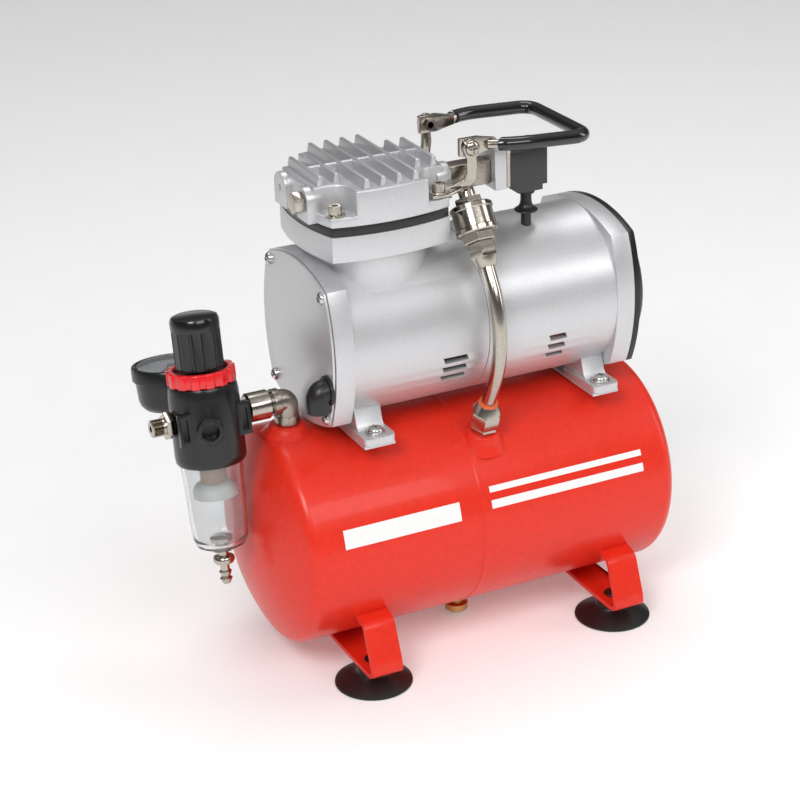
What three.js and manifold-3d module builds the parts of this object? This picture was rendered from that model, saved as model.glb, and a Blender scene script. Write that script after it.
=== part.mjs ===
// Small oil-less piston compressor for airbrushes: a motor and pump on a three-litre air tank,
// with a filter regulator, a gauge, a pressure switch and a folding carrying handle.
// Millimetres, +Z up. The design is laid out with x = 0 at the middle of the tank, y = 0 on the
// tank's axis and z = 0 on the floor; +X runs from the regulator end to the fan end, and -Y is the
// side with the discharge tube. The finished group is then shifted so that its origin lies under
// the middle of its bounding box.
import * as THREE from "three";
import { mergeVertices } from "three/addons/utils/BufferGeometryUtils.js";
import Module from "manifold-3d";

const wasm = await Module();
wasm.setup();

// ---------------------------------------------------------------- driving dimensions
const GAP = 0.3; // clearance left between pieces that touch
const ROUNDNESS = 0.6; // share of the facets asked for that a turned solid gets
const FLATNESS = 0.12; // facets that differ by less than this are merged
const BURY = 1; // how far a cutter or a joined boss reaches past a face

const TANK_R = 62.5; // outside radius of the tank
const TANK_HALF = 130; // half its length over both dished ends
const TANK_WALL = 2.2;
const TANK_Z = 77.5; // height of its axis
const DISH_CROWN_R = 119; // crown radius of a dished end
const DISH_KNUCKLE_R = 8;
const DRAIN_Y = -6; // water drain in the bottom of the tank

const MOTOR_R = 46.6; // outside radius of the pump and motor casings
const MOTOR_WALL = 3.9;
const MOTOR_Z = TANK_Z + 115; // height of the shaft
const PUMP_END_X = -90.6; // outer face of the crankcase cover
const SPLIT_X = 3; // joint between the crankcase and the motor casing
const FAN_END_X = 94.5; // joint between the motor casing and the fan cover
const END_CORNER = 38.5; // half width of the casings' square ends at the corners
const END_MIDDLE = 46.9; // and at the middle of their bowed sides
const BULKHEAD_X = -28; // wall between the crank chamber and the motor
const BEARING_R = 11;
const SHAFT_R = 6;

const FOOT_X = [-76.5, 79]; // suction feet and leg brackets
const FOOT_Y = 52.5;
const FOOT_RIM_R = 22;
const LEG_WIDTH = 18.6;
const LEG_SHEET = 2.4;
const SADDLE_X = [-64.9, 76.3]; // plates welded on the tank that carry the motor
const SADDLE_HALF = [9.3, 8.3]; // half their width
const SADDLE_TOP = TANK_Z + TANK_R + 2;
const PAD_TOP = SADDLE_TOP + 4.3; // the casings' cast feet stand on them
const MOTOR_SCREW_Y = 40.5;

const CYL_X = -48.4; // axis of the cylinder, up through the shaft
const CYL_BORE_R = 20.3;
const NECK_R = 34;
const FLANGE_Z = [MOTOR_Z + 52.5, MOTOR_Z + 66.4];
const VALVE_PLATE_Z = [MOTOR_Z + 66.7, MOTOR_Z + 71.2];
const HEAD_Z = MOTOR_Z + 71.5; // underside of the cylinder head
const LEDGE_Z = HEAD_Z + 5.5; // pockets that hold the bolt heads
const DECK_Z = HEAD_Z + 19; // top of the head between its fins
const FIN_TOP_Z = HEAD_Z + 24.5;
const HEAD_CORNER = 34.4; // half width of the head at its corners
const HEAD_MIDDLE = 39.5; // and at the middle of its bowed sides
const BOLT_OFFSET = 30.1; // head bolts, each way from the cylinder's axis
const PORT_Y = 14.5; // ports in the head's sides
const PORT_Z = HEAD_Z + 10.4;
const POCKET_R = 9.1; // rounded inner corner of a bolt pocket
const CRANK_THROW = 5;

const PIVOT = { x: 3.3, y: 24, z: MOTOR_Z + 99.4 }; // hinges of the carrying handle
const HANDLE_Y = 32; // half distance between its arms
const HANDLE_REACH = 72.3; // its cross bar
const ROD_R = 2.7;
const GRIP_R = 3.8;

const TUBE_X = 2.6; // plane of the discharge tube
const TUBE_R = 4;
const TANK_PORT = { y: -36.6, z: TANK_Z + 50.7, tilt: 19.6 }; // where the tube enters the tank
const VALVE = { y: -30.4, z: MOTOR_Z + 60.2, tilt: 33.7 }; // middle of the check valve

const AIR_Z = TANK_Z + 80; // height of the outlet line to the regulator
const OUTLET_X = -99.2; // outlet port on top of the tank
const REG_X = -146.2; // axis of the filter regulator
const REG_TILT = 9; // it leans by this many degrees, top away from the tube side
const REG_R = 19.5;
const GAUGE_Y = 50.2; // middle of the pressure gauge, from the regulator's axis
const GAUGE_LIFT = 3.5; // how far the gauge sits above the regulator's middle
const GAUGE_R = 22;
const PLUMBING_LEVEL = -2.8; // height of the regulator's side ports below its own middle

// ---------------------------------------------------------------- materials
const paint = (color, roughness, metalness) =>
  new THREE.MeshStandardMaterial({ color, roughness, metalness });
const RED_ENAMEL = paint(0xd8281c, 0.25, 0.1);
const CAST_SILVER = paint(0xc4c5c9, 0.5, 0.6);
const SHEET_GREY = paint(0xb0afb2, 0.4, 0.5);
const NICKEL = paint(0xb3a89c, 0.25, 1);
const STEEL = paint(0x9c9ca0, 0.35, 1);
const BRASS = paint(0xb08d4a, 0.35, 1);
const BLACK_PLASTIC = paint(0x1d1d1f, 0.35, 0);
const GREY_PLASTIC = paint(0x3c3d40, 0.6, 0);
const RED_PLASTIC = paint(0xd3101c, 0.35, 0);
const RUBBER = paint(0x161616, 0.6, 0);
const VINYL = paint(0x0d0d0e, 0.2, 0);
const CLEAR = paint(0xe6ecef, 0.05, 0);
const SINTERED = paint(0xc9a98a, 0.8, 0.2);
const COPPER = paint(0x9a5a34, 0.5, 0.8);

// ---------------------------------------------------------------- shape helpers
// A closed geometry as a solid. Faces that point inwards are turned round.
function solidOf(geometry) {
  const bare = geometry.clone();
  for (const name of Object.keys(bare.attributes)) {
    if (name !== "position") bare.deleteAttribute(name);
  }
  const merged = mergeVertices(bare, 1e-4);
  const build = (triVerts) =>
    new wasm.Manifold(
      new wasm.Mesh({
        numProp: 3,
        vertProperties: merged.attributes.position.array,
        triVerts,
      }),
    );
  const made = build(new Uint32Array(merged.index.array));
  if (made.volume() >= 0) return made;
  return build(new Uint32Array(merged.index.array).reverse());
}

function geometryOf(solid) {
  const data = solid.getMesh();
  const geometry = new THREE.BufferGeometry();
  geometry.setAttribute("position", new THREE.BufferAttribute(data.vertProperties, 3));
  geometry.setIndex(new THREE.BufferAttribute(data.triVerts, 1));
  return geometry;
}

const join = (...parts) => geometryOf(parts.map(solidOf).reduce((a, b) => a.add(b)));

const cut = (body, ...cutters) =>
  geometryOf(cutters.map(solidOf).reduce((a, b) => a.subtract(b), solidOf(body)));

// Box between two corners.
function block(x0, x1, y0, y1, z0, z1) {
  const box = new THREE.BoxGeometry(x1 - x0, y1 - y0, z1 - z0);
  return box.translate((x0 + x1) / 2, (y0 + y1) / 2, (z0 + z1) / 2);
}

// Solid of revolution about Z from [radius, height] points that start and end on the axis.
function turned(points, segments = 24) {
  const profile = points.map(([r, z]) => new THREE.Vector2(r, z));
  const facets = segments < 10 ? segments : 4 * Math.ceil((segments * ROUNDNESS) / 4);
  return new THREE.LatheGeometry(profile, facets).rotateX(Math.PI / 2);
}

// Cylinders (or cones) along Z, X and Y between two stations.
const postZ = (r, z0, z1, segments = 16, rTop = r) =>
  turned([[0, z0], [r, z0], [rTop, z1], [0, z1]], segments);
const postX = (r, x0, x1, segments = 16, rEnd = r) =>
  postZ(r, x0, x1, segments, rEnd).rotateY(Math.PI / 2);
const postY = (r, y0, y1, segments = 16, rEnd = r) =>
  postZ(r, y0, y1, segments, rEnd).rotateX(-Math.PI / 2);

const hexZ = (r, z0, z1) => postZ(r, z0, z1, 6);

// Flat outline of [u, v] points, thickened along Z.
function plate(points, z0, z1, holes = []) {
  const shape = new THREE.Shape(points.map(([u, v]) => new THREE.Vector2(u, v)));
  for (const { u, v, r } of holes) {
    shape.holes.push(new THREE.Path().absarc(u, v, r, 0, 2 * Math.PI));
  }
  const settings = { depth: z1 - z0, bevelEnabled: false, curveSegments: 6 };
  return new THREE.ExtrudeGeometry(shape, settings).translate(0, 0, z0);
}

// Square with bowed sides: corner is the half width at a corner, middle the half width between.
function bowedSquare(corner, middle, steps = 4) {
  const bow = middle - corner;
  const radius = (corner * corner + bow * bow) / (2 * bow);
  const spread = Math.asin(corner / radius);
  const points = [];
  for (let side = 0; side < 4; side++) {
    for (let i = 0; i < steps; i++) {
      const a = spread * ((2 * i) / steps - 1);
      const u = middle - radius + radius * Math.cos(a);
      const v = radius * Math.sin(a);
      const turn = (side * Math.PI) / 2;
      points.push([
        u * Math.cos(turn) - v * Math.sin(turn),
        u * Math.sin(turn) + v * Math.cos(turn),
      ]);
    }
  }
  return points;
}

// Plate of that outline across X, about the shaft's height.
const bowedPlateX = (corner, middle, x0, x1) =>
  plate(bowedSquare(corner, middle), x0, x1)
    .rotateY(Math.PI / 2)
    .translate(0, 0, MOTOR_Z);

// Line through points with its corners rounded by a radius.
function roundedPath(points, radius) {
  const path = new THREE.CurvePath();
  let from = points[0];
  for (let i = 1; i < points.length - 1; i++) {
    const corner = points[i];
    const back = points[i - 1].clone().sub(corner).normalize().multiplyScalar(radius);
    const ahead = points[i + 1].clone().sub(corner).normalize().multiplyScalar(radius);
    const enter = corner.clone().add(back);
    const leave = corner.clone().add(ahead);
    path.add(new THREE.LineCurve3(from, enter));
    path.add(new THREE.QuadraticBezierCurve3(enter, corner, leave));
    from = leave;
  }
  path.add(new THREE.LineCurve3(from, points[points.length - 1]));
  return path;
}

// Rod or pipe of round section along a curve.
function swept(curve, radius, steps, sides = 12, bore = 0) {
  const ring = new THREE.Shape().absarc(0, 0, radius, 0, 2 * Math.PI);
  if (bore) ring.holes.push(new THREE.Path().absarc(0, 0, bore, 0, 2 * Math.PI, true));
  const settings = { steps, extrudePath: curve, curveSegments: sides / 2, bevelEnabled: false };
  return new THREE.ExtrudeGeometry(ring, settings);
}

const radians = (degrees) => (degrees * Math.PI) / 180;

const group = new THREE.Group();

// Adds one sub-part to the model, or to a turned group inside it.
function piece(name, material, geometry, parent = group) {
  const mesh = new THREE.Mesh(geometryOf(solidOf(geometry).simplify(FLATNESS)), material);
  mesh.name = name;
  parent.add(mesh);
  return mesh;
}

// ---------------------------------------------------------------- tank and legs
// Half of a dished end: [radius, depth] from the pole to where the straight wall starts.
function dishedEnd(wallR, crownR, knuckleR) {
  const tangent = Math.asin((wallR - knuckleR) / (crownR - knuckleR));
  const depth = crownR - (crownR - knuckleR) * Math.cos(tangent);
  const points = [];
  for (let i = 0; i <= 2; i++) {
    const a = (tangent * i) / 2;
    points.push([crownR * Math.sin(a), crownR * (1 - Math.cos(a))]);
  }
  for (let i = 1; i <= 3; i++) {
    const a = tangent + ((Math.PI / 2 - tangent) * i) / 3;
    points.push([wallR - knuckleR + knuckleR * Math.sin(a), depth - knuckleR * Math.cos(a)]);
  }
  return points;
}

function tankBody(inset) {
  const dish = dishedEnd(TANK_R - inset, DISH_CROWN_R - inset, DISH_KNUCKLE_R - inset);
  const left = dish.map(([r, depth]) => [r, -TANK_HALF + inset + depth]);
  const right = dish.map(([r, depth]) => [r, TANK_HALF - inset - depth]).reverse();
  return turned([...left, ...right], 40).rotateY(Math.PI / 2).translate(0, 0, TANK_Z);
}

// A solid laid out along +Z is leaned towards -Y and moved to the tank's tube port.
const atTankPort = (geometry) =>
  geometry.rotateX(radians(TANK_PORT.tilt)).translate(TUBE_X, TANK_PORT.y, TANK_PORT.z);

function buildTank() {
  const bottom = TANK_Z - TANK_R;
  const outletTop = AIR_Z - 14;
  const outletBoss = postZ(11, TANK_Z + TANK_R - 3, outletTop, 24, 9.5);
  const tubeBoss = atTankPort(postZ(11, -3, 4, 24, 8.8));
  const drainBoss = postZ(6, bottom - 3, bottom + 4, 20).translate(0, DRAIN_Y, 0);
  const outer = join(
    tankBody(0),
    outletBoss.translate(OUTLET_X, 0, 0),
    tubeBoss,
    drainBoss,
  );
  const shell = cut(
    outer,
    tankBody(TANK_WALL),
    postZ(5, TANK_Z, outletTop + BURY, 16).translate(OUTLET_X, 0, 0),
    atTankPort(postZ(3, -20, 4 + BURY, 16)),
    postZ(3, bottom - 4, bottom + 8, 16).translate(0, DRAIN_Y, 0),
  );
  piece("tank_shell", RED_ENAMEL, shell);

  const knob = join(postZ(6.7, 3, 7.7, 24), postZ(4, 7, bottom - 3.3, 20), postZ(2.7, 7, bottom + 6, 16));
  piece("tank_drain_knob", BRASS, knob.translate(0, DRAIN_Y, 0));
}

// Outline of a strip of the given thickness that follows a line of [u, v] points on its left.
function ribbon(points, thickness) {
  const inner = points.map(([u, v], i) => {
    const before = points[Math.max(i - 1, 0)];
    const after = points[Math.min(i + 1, points.length - 1)];
    const arriving = new THREE.Vector2(u - before[0], v - before[1]).normalize();
    const leaving = new THREE.Vector2(after[0] - u, after[1] - v).normalize();
    const along = arriving.clone().add(leaving).normalize();
    const shorter = Math.max(arriving.length() ? arriving.dot(along) : leaving.dot(along), 0.5);
    const reach = thickness / shorter;
    return [u - along.y * reach, v + along.x * reach];
  });
  return [...points, ...inner.reverse()];
}

// One bent strip under the tank, folded up at both ends to meet the tank's sides.
function buildLegs() {
  const half = LEG_WIDTH / 2;
  const base = TANK_Z - TANK_R - GAP - LEG_SHEET;
  const rightHalf = [
    [10, base],
    [30, base - 0.6],
    [66, 11.4],
    [69.8, 12.6],
    [71.9, 15.6],
    [71.6, 19.4],
    [62.2, 41.6],
    [59.6, 43.6],
    [49, 45.6],
  ];
  const leftHalf = rightHalf.map(([y, z]) => [-y, z]).reverse();
  const outline = ribbon([...leftHalf, ...rightHalf], LEG_SHEET);
  FOOT_X.forEach((x, end) => {
    const strip = plate(outline, -half, half).rotateX(Math.PI / 2).rotateZ(Math.PI / 2);
    const holes = [-FOOT_Y, FOOT_Y].map((y) => postZ(3.4, 5, 20, 16).translate(0, y, 0));
    const clear = postX(TANK_R + GAP, -60, 60, 40).translate(0, 0, TANK_Z);
    const leg = cut(strip, clear, ...holes).translate(x, 0, 0);
    piece(`leg_bracket_${["left", "right"][end]}`, RED_ENAMEL, leg);
  });
}

// Rubber suction cup, hollow underneath, with its moulded-in stud and nut.
function buildFeet() {
  const cup = [
    [0, 4.5],
    [8, 4],
    [20, 0],
    [FOOT_RIM_R, 0],
    [FOOT_RIM_R, 1.2],
    [15, 5.6],
    [9.5, 7],
    [8.5, 11],
    [3, 11],
    [3, 15.4],
    [0, 15.4],
  ];
  FOOT_X.forEach((x, end) => {
    [-FOOT_Y, FOOT_Y].forEach((y, side) => {
      const name = `suction_foot_${["left", "right"][end]}_${["front", "rear"][side]}`;
      piece(name, RUBBER, turned(cup, 24).translate(x, y, 0));
    });
  });
}

// ---------------------------------------------------------------- casings
// Cast foot of a casing: a pad with a screw hole and a sloping web up to the casing's side.
function castFoot(end, side) {
  const half = SADDLE_HALF[end];
  const pad = block(-half, half, 14, 48.4, SADDLE_TOP + GAP, PAD_TOP);
  const profile = [
    [12, SADDLE_TOP + GAP],
    [35, SADDLE_TOP + GAP],
    [35, PAD_TOP],
    [30.5, PAD_TOP + 11],
    [24, PAD_TOP + 14],
    [12, PAD_TOP + 4],
  ];
  const web = plate(profile, 1.5 - half, half - 1.5).rotateX(Math.PI / 2).rotateZ(Math.PI / 2);
  return join(pad, web).scale(1, side, 1).translate(SADDLE_X[end], 0, 0);
}

const footHole = (x, side) => postZ(2.6, 120, 160, 16).translate(x, side * MOTOR_SCREW_Y, 0);

// Three slots one above another, cut through the lower part of a casing's side wall.
function ventSlots(x0, x1) {
  const slots = [];
  for (const side of [-1, 1]) {
    for (const angle of [14.6, 22.4, 30.6]) {
      const slot = block(x0, x1, MOTOR_R - 8, MOTOR_R + 4, -2, 2);
      slot.rotateX(radians(-angle)).scale(1, side, 1).translate(0, 0, MOTOR_Z);
      slots.push(slot);
    }
  }
  return slots;
}

function buildCrankcase() {
  const inner = MOTOR_R - MOTOR_WALL;
  const start = PUMP_END_X + 1.7;
  const drum = postX(MOTOR_R, start, SPLIT_X, 40).translate(0, 0, MOTOR_Z);
  const neck = postZ(NECK_R, MOTOR_Z + 20, FLANGE_Z[0] + BURY, 32).translate(CYL_X, 0, 0);
  const flange = plate(bowedSquare(HEAD_CORNER, HEAD_MIDDLE), ...FLANGE_Z).translate(CYL_X, 0, 0);
  const feet = [-1, 1].map((side) => castFoot(0, side));
  const solid = join(drum, bowedPlateX(END_CORNER, END_MIDDLE, start, start + 11), neck, flange, ...feet);
  const housing = cut(
    solid,
    postX(inner, start - BURY, BULKHEAD_X - 2, 32).translate(0, 0, MOTOR_Z),
    postX(inner, BULKHEAD_X + 2, SPLIT_X + BURY, 32).translate(0, 0, MOTOR_Z),
    postX(BEARING_R, BULKHEAD_X - 5, BULKHEAD_X + 5, 32).translate(0, 0, MOTOR_Z),
    postZ(CYL_BORE_R + 2.8, MOTOR_Z + 10, FLANGE_Z[1] + BURY, 32).translate(CYL_X, 0, 0),
    ...ventSlots(-24.5, -9),
    ...boltPlaces().map(([x, y]) => postZ(2.7, FLANGE_Z[0] - 5, FLANGE_Z[1] + BURY, 12).translate(x, y, 0)),
    ...[-1, 1].map((side) => footHole(SADDLE_X[0], side)),
  );
  piece("crankcase_housing", CAST_SILVER, housing);

  const liner = cut(
    postZ(CYL_BORE_R + 2.5, MOTOR_Z + 40, FLANGE_Z[1], 32),
    postZ(CYL_BORE_R, MOTOR_Z + 30, FLANGE_Z[1] + BURY, 32),
  );
  piece("cylinder_liner", STEEL, liner.translate(CYL_X, 0, 0));

  const cover = bowedPlateX(END_CORNER - 0.8, END_MIDDLE - 0.8, PUMP_END_X, PUMP_END_X + 1.4);
  piece("crankcase_cover", SHEET_GREY, cover);
}

function buildMotorCasing() {
  const inner = MOTOR_R - MOTOR_WALL;
  const start = SPLIT_X + GAP;
  const webX = FAN_END_X - 12;
  const drum = postX(MOTOR_R, start, FAN_END_X, 40);
  const feet = [-1, 1].map((side) => castFoot(1, side));
  const breathers = [0, 1, 2, 3, 4, 5].map((i) => {
    const hole = postX(9, webX - 5, webX + 8, 16).translate(0, 0, 29);
    return hole.rotateX((i * Math.PI) / 3).translate(0, 0, MOTOR_Z);
  });
  const solid = join(
    drum.translate(0, 0, MOTOR_Z),
    bowedPlateX(END_CORNER, END_MIDDLE, FAN_END_X - 11, FAN_END_X),
    ...feet,
  );
  const casing = cut(
    solid,
    postX(inner, start - BURY, webX, 32).translate(0, 0, MOTOR_Z),
    postX(inner, webX + 4, FAN_END_X + BURY, 32).translate(0, 0, MOTOR_Z),
    postX(BEARING_R, webX - 5, webX + 9, 32).translate(0, 0, MOTOR_Z),
    ...breathers,
    ...ventSlots(40.5, 52.5),
    ...[-1, 1].map((side) => footHole(SADDLE_X[1], side)),
  );
  piece("motor_housing", CAST_SILVER, casing);

  const rim = FAN_END_X + GAP;
  const dome = [
    [0, rim],
    [43, rim],
    [43, rim + 5.5],
    [41, rim + 8.7],
    [35.5, rim + 11.4],
    [0, rim + 13.5],
  ];
  const hollow = dome.map(([r, x], i) => [Math.max(r - 2, 0), i < 2 ? x - BURY : x - 2]);
  const shell = join(
    bowedPlateX(END_CORNER, END_MIDDLE, rim, rim + 3.5),
    turned(dome, 32).rotateY(Math.PI / 2).translate(0, 0, MOTOR_Z),
  );
  const slots = [];
  for (let i = 0; i < 8; i++) {
    const slot = block(rim + 5, rim + 20, -1.6, 1.6, 14, 34);
    slots.push(slot.rotateX((i * Math.PI) / 4).translate(0, 0, MOTOR_Z));
  }
  const cavity = turned(hollow, 32).rotateY(Math.PI / 2).translate(0, 0, MOTOR_Z);
  piece("fan_cover", BLACK_PLASTIC, cut(shell, cavity, ...slots));
}

// Plates welded across the top of the tank, which the casings' feet stand on.
function buildMotorMounts() {
  SADDLE_X.forEach((x, end) => {
    const half = SADDLE_HALF[end];
    const strip = block(x - half, x + half, -47, 47, TANK_Z + TANK_R + GAP, SADDLE_TOP);
    const holes = [-1, 1].map((side) => footHole(x, side));
    piece(`motor_saddle_${["left", "right"][end]}`, CAST_SILVER, cut(strip, ...holes));
  });
}

// Moulded rubber elbow where the mains cable enters the crankcase end.
function buildCordGland() {
  const x = PUMP_END_X - 6;
  const z = MOTOR_Z - 16.4;
  const bend = new THREE.SphereGeometry(6.8, 12, 8);
  const elbow = cut(
    join(
      postX(6.8, x, PUMP_END_X - GAP, 20).translate(0, 0, z),
      postZ(6.8, MOTOR_Z - 29.5, z, 20).translate(x, 0, 0),
      bend.translate(x, 0, z),
    ),
    postX(3, x, PUMP_END_X + BURY, 12).translate(0, 0, z),
    postZ(3, MOTOR_Z - 31, z, 12).translate(x, 0, 0),
    block(PUMP_END_X - GAP, PUMP_END_X + 5, -8, 8, z - 20, z + 8),
  );
  piece("cord_gland", RUBBER, elbow.translate(0, -39.5, 0));
}

// ---------------------------------------------------------------- motor and piston
function buildDrive() {
  const atShaft = (geometry) => geometry.translate(0, 0, MOTOR_Z);
  const stator = cut(
    postX(MOTOR_R - MOTOR_WALL - GAP, 14, 66, 32),
    postX(26, 13, 67, 32),
  );
  piece("stator_core", COPPER, atShaft(stator));

  const pin = postX(3.5, -55, -39, 16).translate(0, CRANK_THROW, 0);
  const rotor = join(
    postX(SHAFT_R - GAP, -40, FAN_END_X + 9, 20),
    postX(25.2, 16, 64, 32),
    postX(15, -41, -35, 24),
    pin,
  );
  piece("rotor_shaft", STEEL, atShaft(rotor));

  const race = (x) => cut(postX(BEARING_R - GAP, x - 3.5, x + 3.5, 24), postX(SHAFT_R, x - 5, x + 5, 20));
  piece("bearing_pump_side", STEEL, atShaft(race(BULKHEAD_X)));
  piece("bearing_fan_side", STEEL, atShaft(race(FAN_END_X - 10)));

  const blades = [];
  for (let i = 0; i < 5; i++) {
    const blade = block(-1, 1, -6, 6, 8, 33).rotateZ(radians(55));
    blades.push(blade.rotateX((i * 2 * Math.PI) / 5).translate(FAN_END_X + 3.5, 0, 0));
  }
  const fan = cut(
    join(postX(10, FAN_END_X - 3, FAN_END_X + 8, 24), ...blades),
    postX(SHAFT_R, FAN_END_X - 5, FAN_END_X + 12, 20),
  );
  piece("cooling_fan", GREY_PLASTIC, atShaft(fan));

  const ring = cut(postX(18.5, -4, 4, 32), postX(14.3, -5, 5, 32));
  const rod = join(
    ring,
    block(-4, 4, -5, 5, 17, 54),
    turned([[0, 52], [10, 52], [CYL_BORE_R - GAP, 56], [CYL_BORE_R - GAP, 61], [0, 61]], 32),
  );
  piece("piston_rod", CAST_SILVER, rod.translate(CYL_X, 0, MOTOR_Z));
}

// ---------------------------------------------------------------- cylinder head
function boltPlaces() {
  const places = [];
  for (const sx of [-1, 1]) {
    for (const sy of [-1, 1]) places.push([CYL_X + sx * BOLT_OFFSET, sy * BOLT_OFFSET]);
  }
  return places;
}

// Pocket in a corner of the head, open to the outside and rounded about its bolt.
function boltPocket([x, y]) {
  const [sx, sy] = [Math.sign(x - CYL_X), Math.sign(y)];
  const [low, high] = [LEDGE_Z, FIN_TOP_Z + 5];
  const pocket = join(
    postZ(POCKET_R, low, high, 24),
    block(0, 20, -POCKET_R, 20, low, high),
    block(-POCKET_R, 20, 0, 20, low, high),
  );
  return pocket.scale(sx, sy, 1).translate(x, y, 0);
}

// Arched boss on an end of the head, for a port at the given y.
function portBoss(x0, x1, y) {
  const r = 7.6;
  const points = [[-HEAD_Z, r], [-HEAD_Z, -r]];
  for (let i = 0; i <= 10; i++) {
    const a = (Math.PI * i) / 10;
    points.push([-(DECK_Z - 0.4 - r) - r * Math.sin(a), -r * Math.cos(a)]);
  }
  return plate(points, x0, x1).rotateY(Math.PI / 2).translate(0, y, 0);
}

function buildHead() {
  const through = (r) => postZ(r, VALVE_PLATE_Z[0] - BURY, VALVE_PLATE_Z[1] + BURY, 12);
  const valvePlate = cut(
    plate(bowedSquare(HEAD_CORNER - 0.4, HEAD_MIDDLE - 0.4), ...VALVE_PLATE_Z).translate(CYL_X, 0, 0),
    ...boltPlaces().map(([x, y]) => through(2.7).translate(x, y, 0)),
    ...[-9, 9].map((dx) => through(3.5).translate(CYL_X + dx, 0, 0)),
  );
  piece("valve_plate", BLACK_PLASTIC, valvePlate);

  const base = plate(bowedSquare(HEAD_CORNER, HEAD_MIDDLE), HEAD_Z, DECK_Z).translate(CYL_X, 0, 0);
  const finPitch = 9.45;
  const finHalfLengths = [19.5, 19.5, 36.5, 36.5, 36.5, 36.5, 19.5, 19.5];
  const fins = finHalfLengths.map((half, i) => {
    const x = CYL_X + (i - 3.5) * finPitch;
    return block(x - 1, x + 1, -half, half, DECK_Z - BURY, FIN_TOP_Z);
  });
  const rib = block(CYL_X - 33, CYL_X + 33, -1, 1, DECK_Z - BURY, FIN_TOP_Z - 0.4);
  const chamber = (x0, x1) => block(CYL_X + x0, CYL_X + x1, -18, 18, HEAD_Z - BURY, DECK_Z - 4);
  const drilled = (r, x0, x1, y) => postX(r, x0, x1, 16).translate(0, y, PORT_Z);
  const body = cut(join(base, ...fins, rib), ...boltPlaces().map(boltPocket));
  const head = cut(
    join(
      body,
      portBoss(PUMP_END_X + 0.1, CYL_X - 34, PORT_Y),
      portBoss(PUMP_END_X + 0.1, CYL_X - 34, -PORT_Y),
      portBoss(CYL_X + 34, CYL_X + 42.2, -PORT_Y),
    ),
    chamber(-18, -1.5),
    chamber(1.5, 18),
    drilled(1.6, PUMP_END_X - BURY, CYL_X - 15, PORT_Y),
    drilled(4.3, PUMP_END_X - BURY, CYL_X - 15, -PORT_Y),
    drilled(4.3, CYL_X + 15, CYL_X + 45, -PORT_Y),
    ...boltPlaces().map(([x, y]) => postZ(2.7, HEAD_Z - BURY, LEDGE_Z + BURY, 12).translate(x, y, 0)),
  );
  piece("cylinder_head", CAST_SILVER, head);

  boltPlaces().forEach(([x, y]) => {
    const end = x < CYL_X ? "left" : "right";
    const seat = LEDGE_Z + GAP + (end === "right" ? 2.1 : 0);
    const bolt = cut(
      join(postZ(2.4, FLANGE_Z[0] + 1, seat + BURY, 16), postZ(3.6, seat, seat + 5.2, 16)),
      hexZ(1.9, seat + 2.4, seat + 7),
    );
    piece(`head_bolt_${end}_${y < 0 ? "front" : "rear"}`, NICKEL, bolt.translate(x, y, 0));
  });

  const plug = join(
    postX(6.2, PUMP_END_X - 5.8, PUMP_END_X - 0.2, 6),
    postX(4, PUMP_END_X - 1, PUMP_END_X + 7, 16),
  );
  piece("head_plug", NICKEL, plug.translate(0, -PORT_Y, PORT_Z));
}

// ---------------------------------------------------------------- manifold and switch
const MANIFOLD = { x0: CYL_X + 42.5, x1: 18.9, half: 5, y: -PORT_Y, low: MOTOR_Z + 74.5, high: MOTOR_Z + 88 };
const END_BLOCK = { x0: 19.2, x1: 26.6, y0: -24, y1: -1, z0: MOTOR_Z + 71.5, z1: MOTOR_Z + 94.5 };
const SWITCH = { x0: 28.9, x1: 51.5, y0: -24, y1: -1, z0: MOTOR_Z + 67.5, z1: MOTOR_Z + 91 };
const BUTTON = { x: 46.5, y: -12, r: 4 };
const SLEEVE = { x: 44.5, y: -12.4 };

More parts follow.
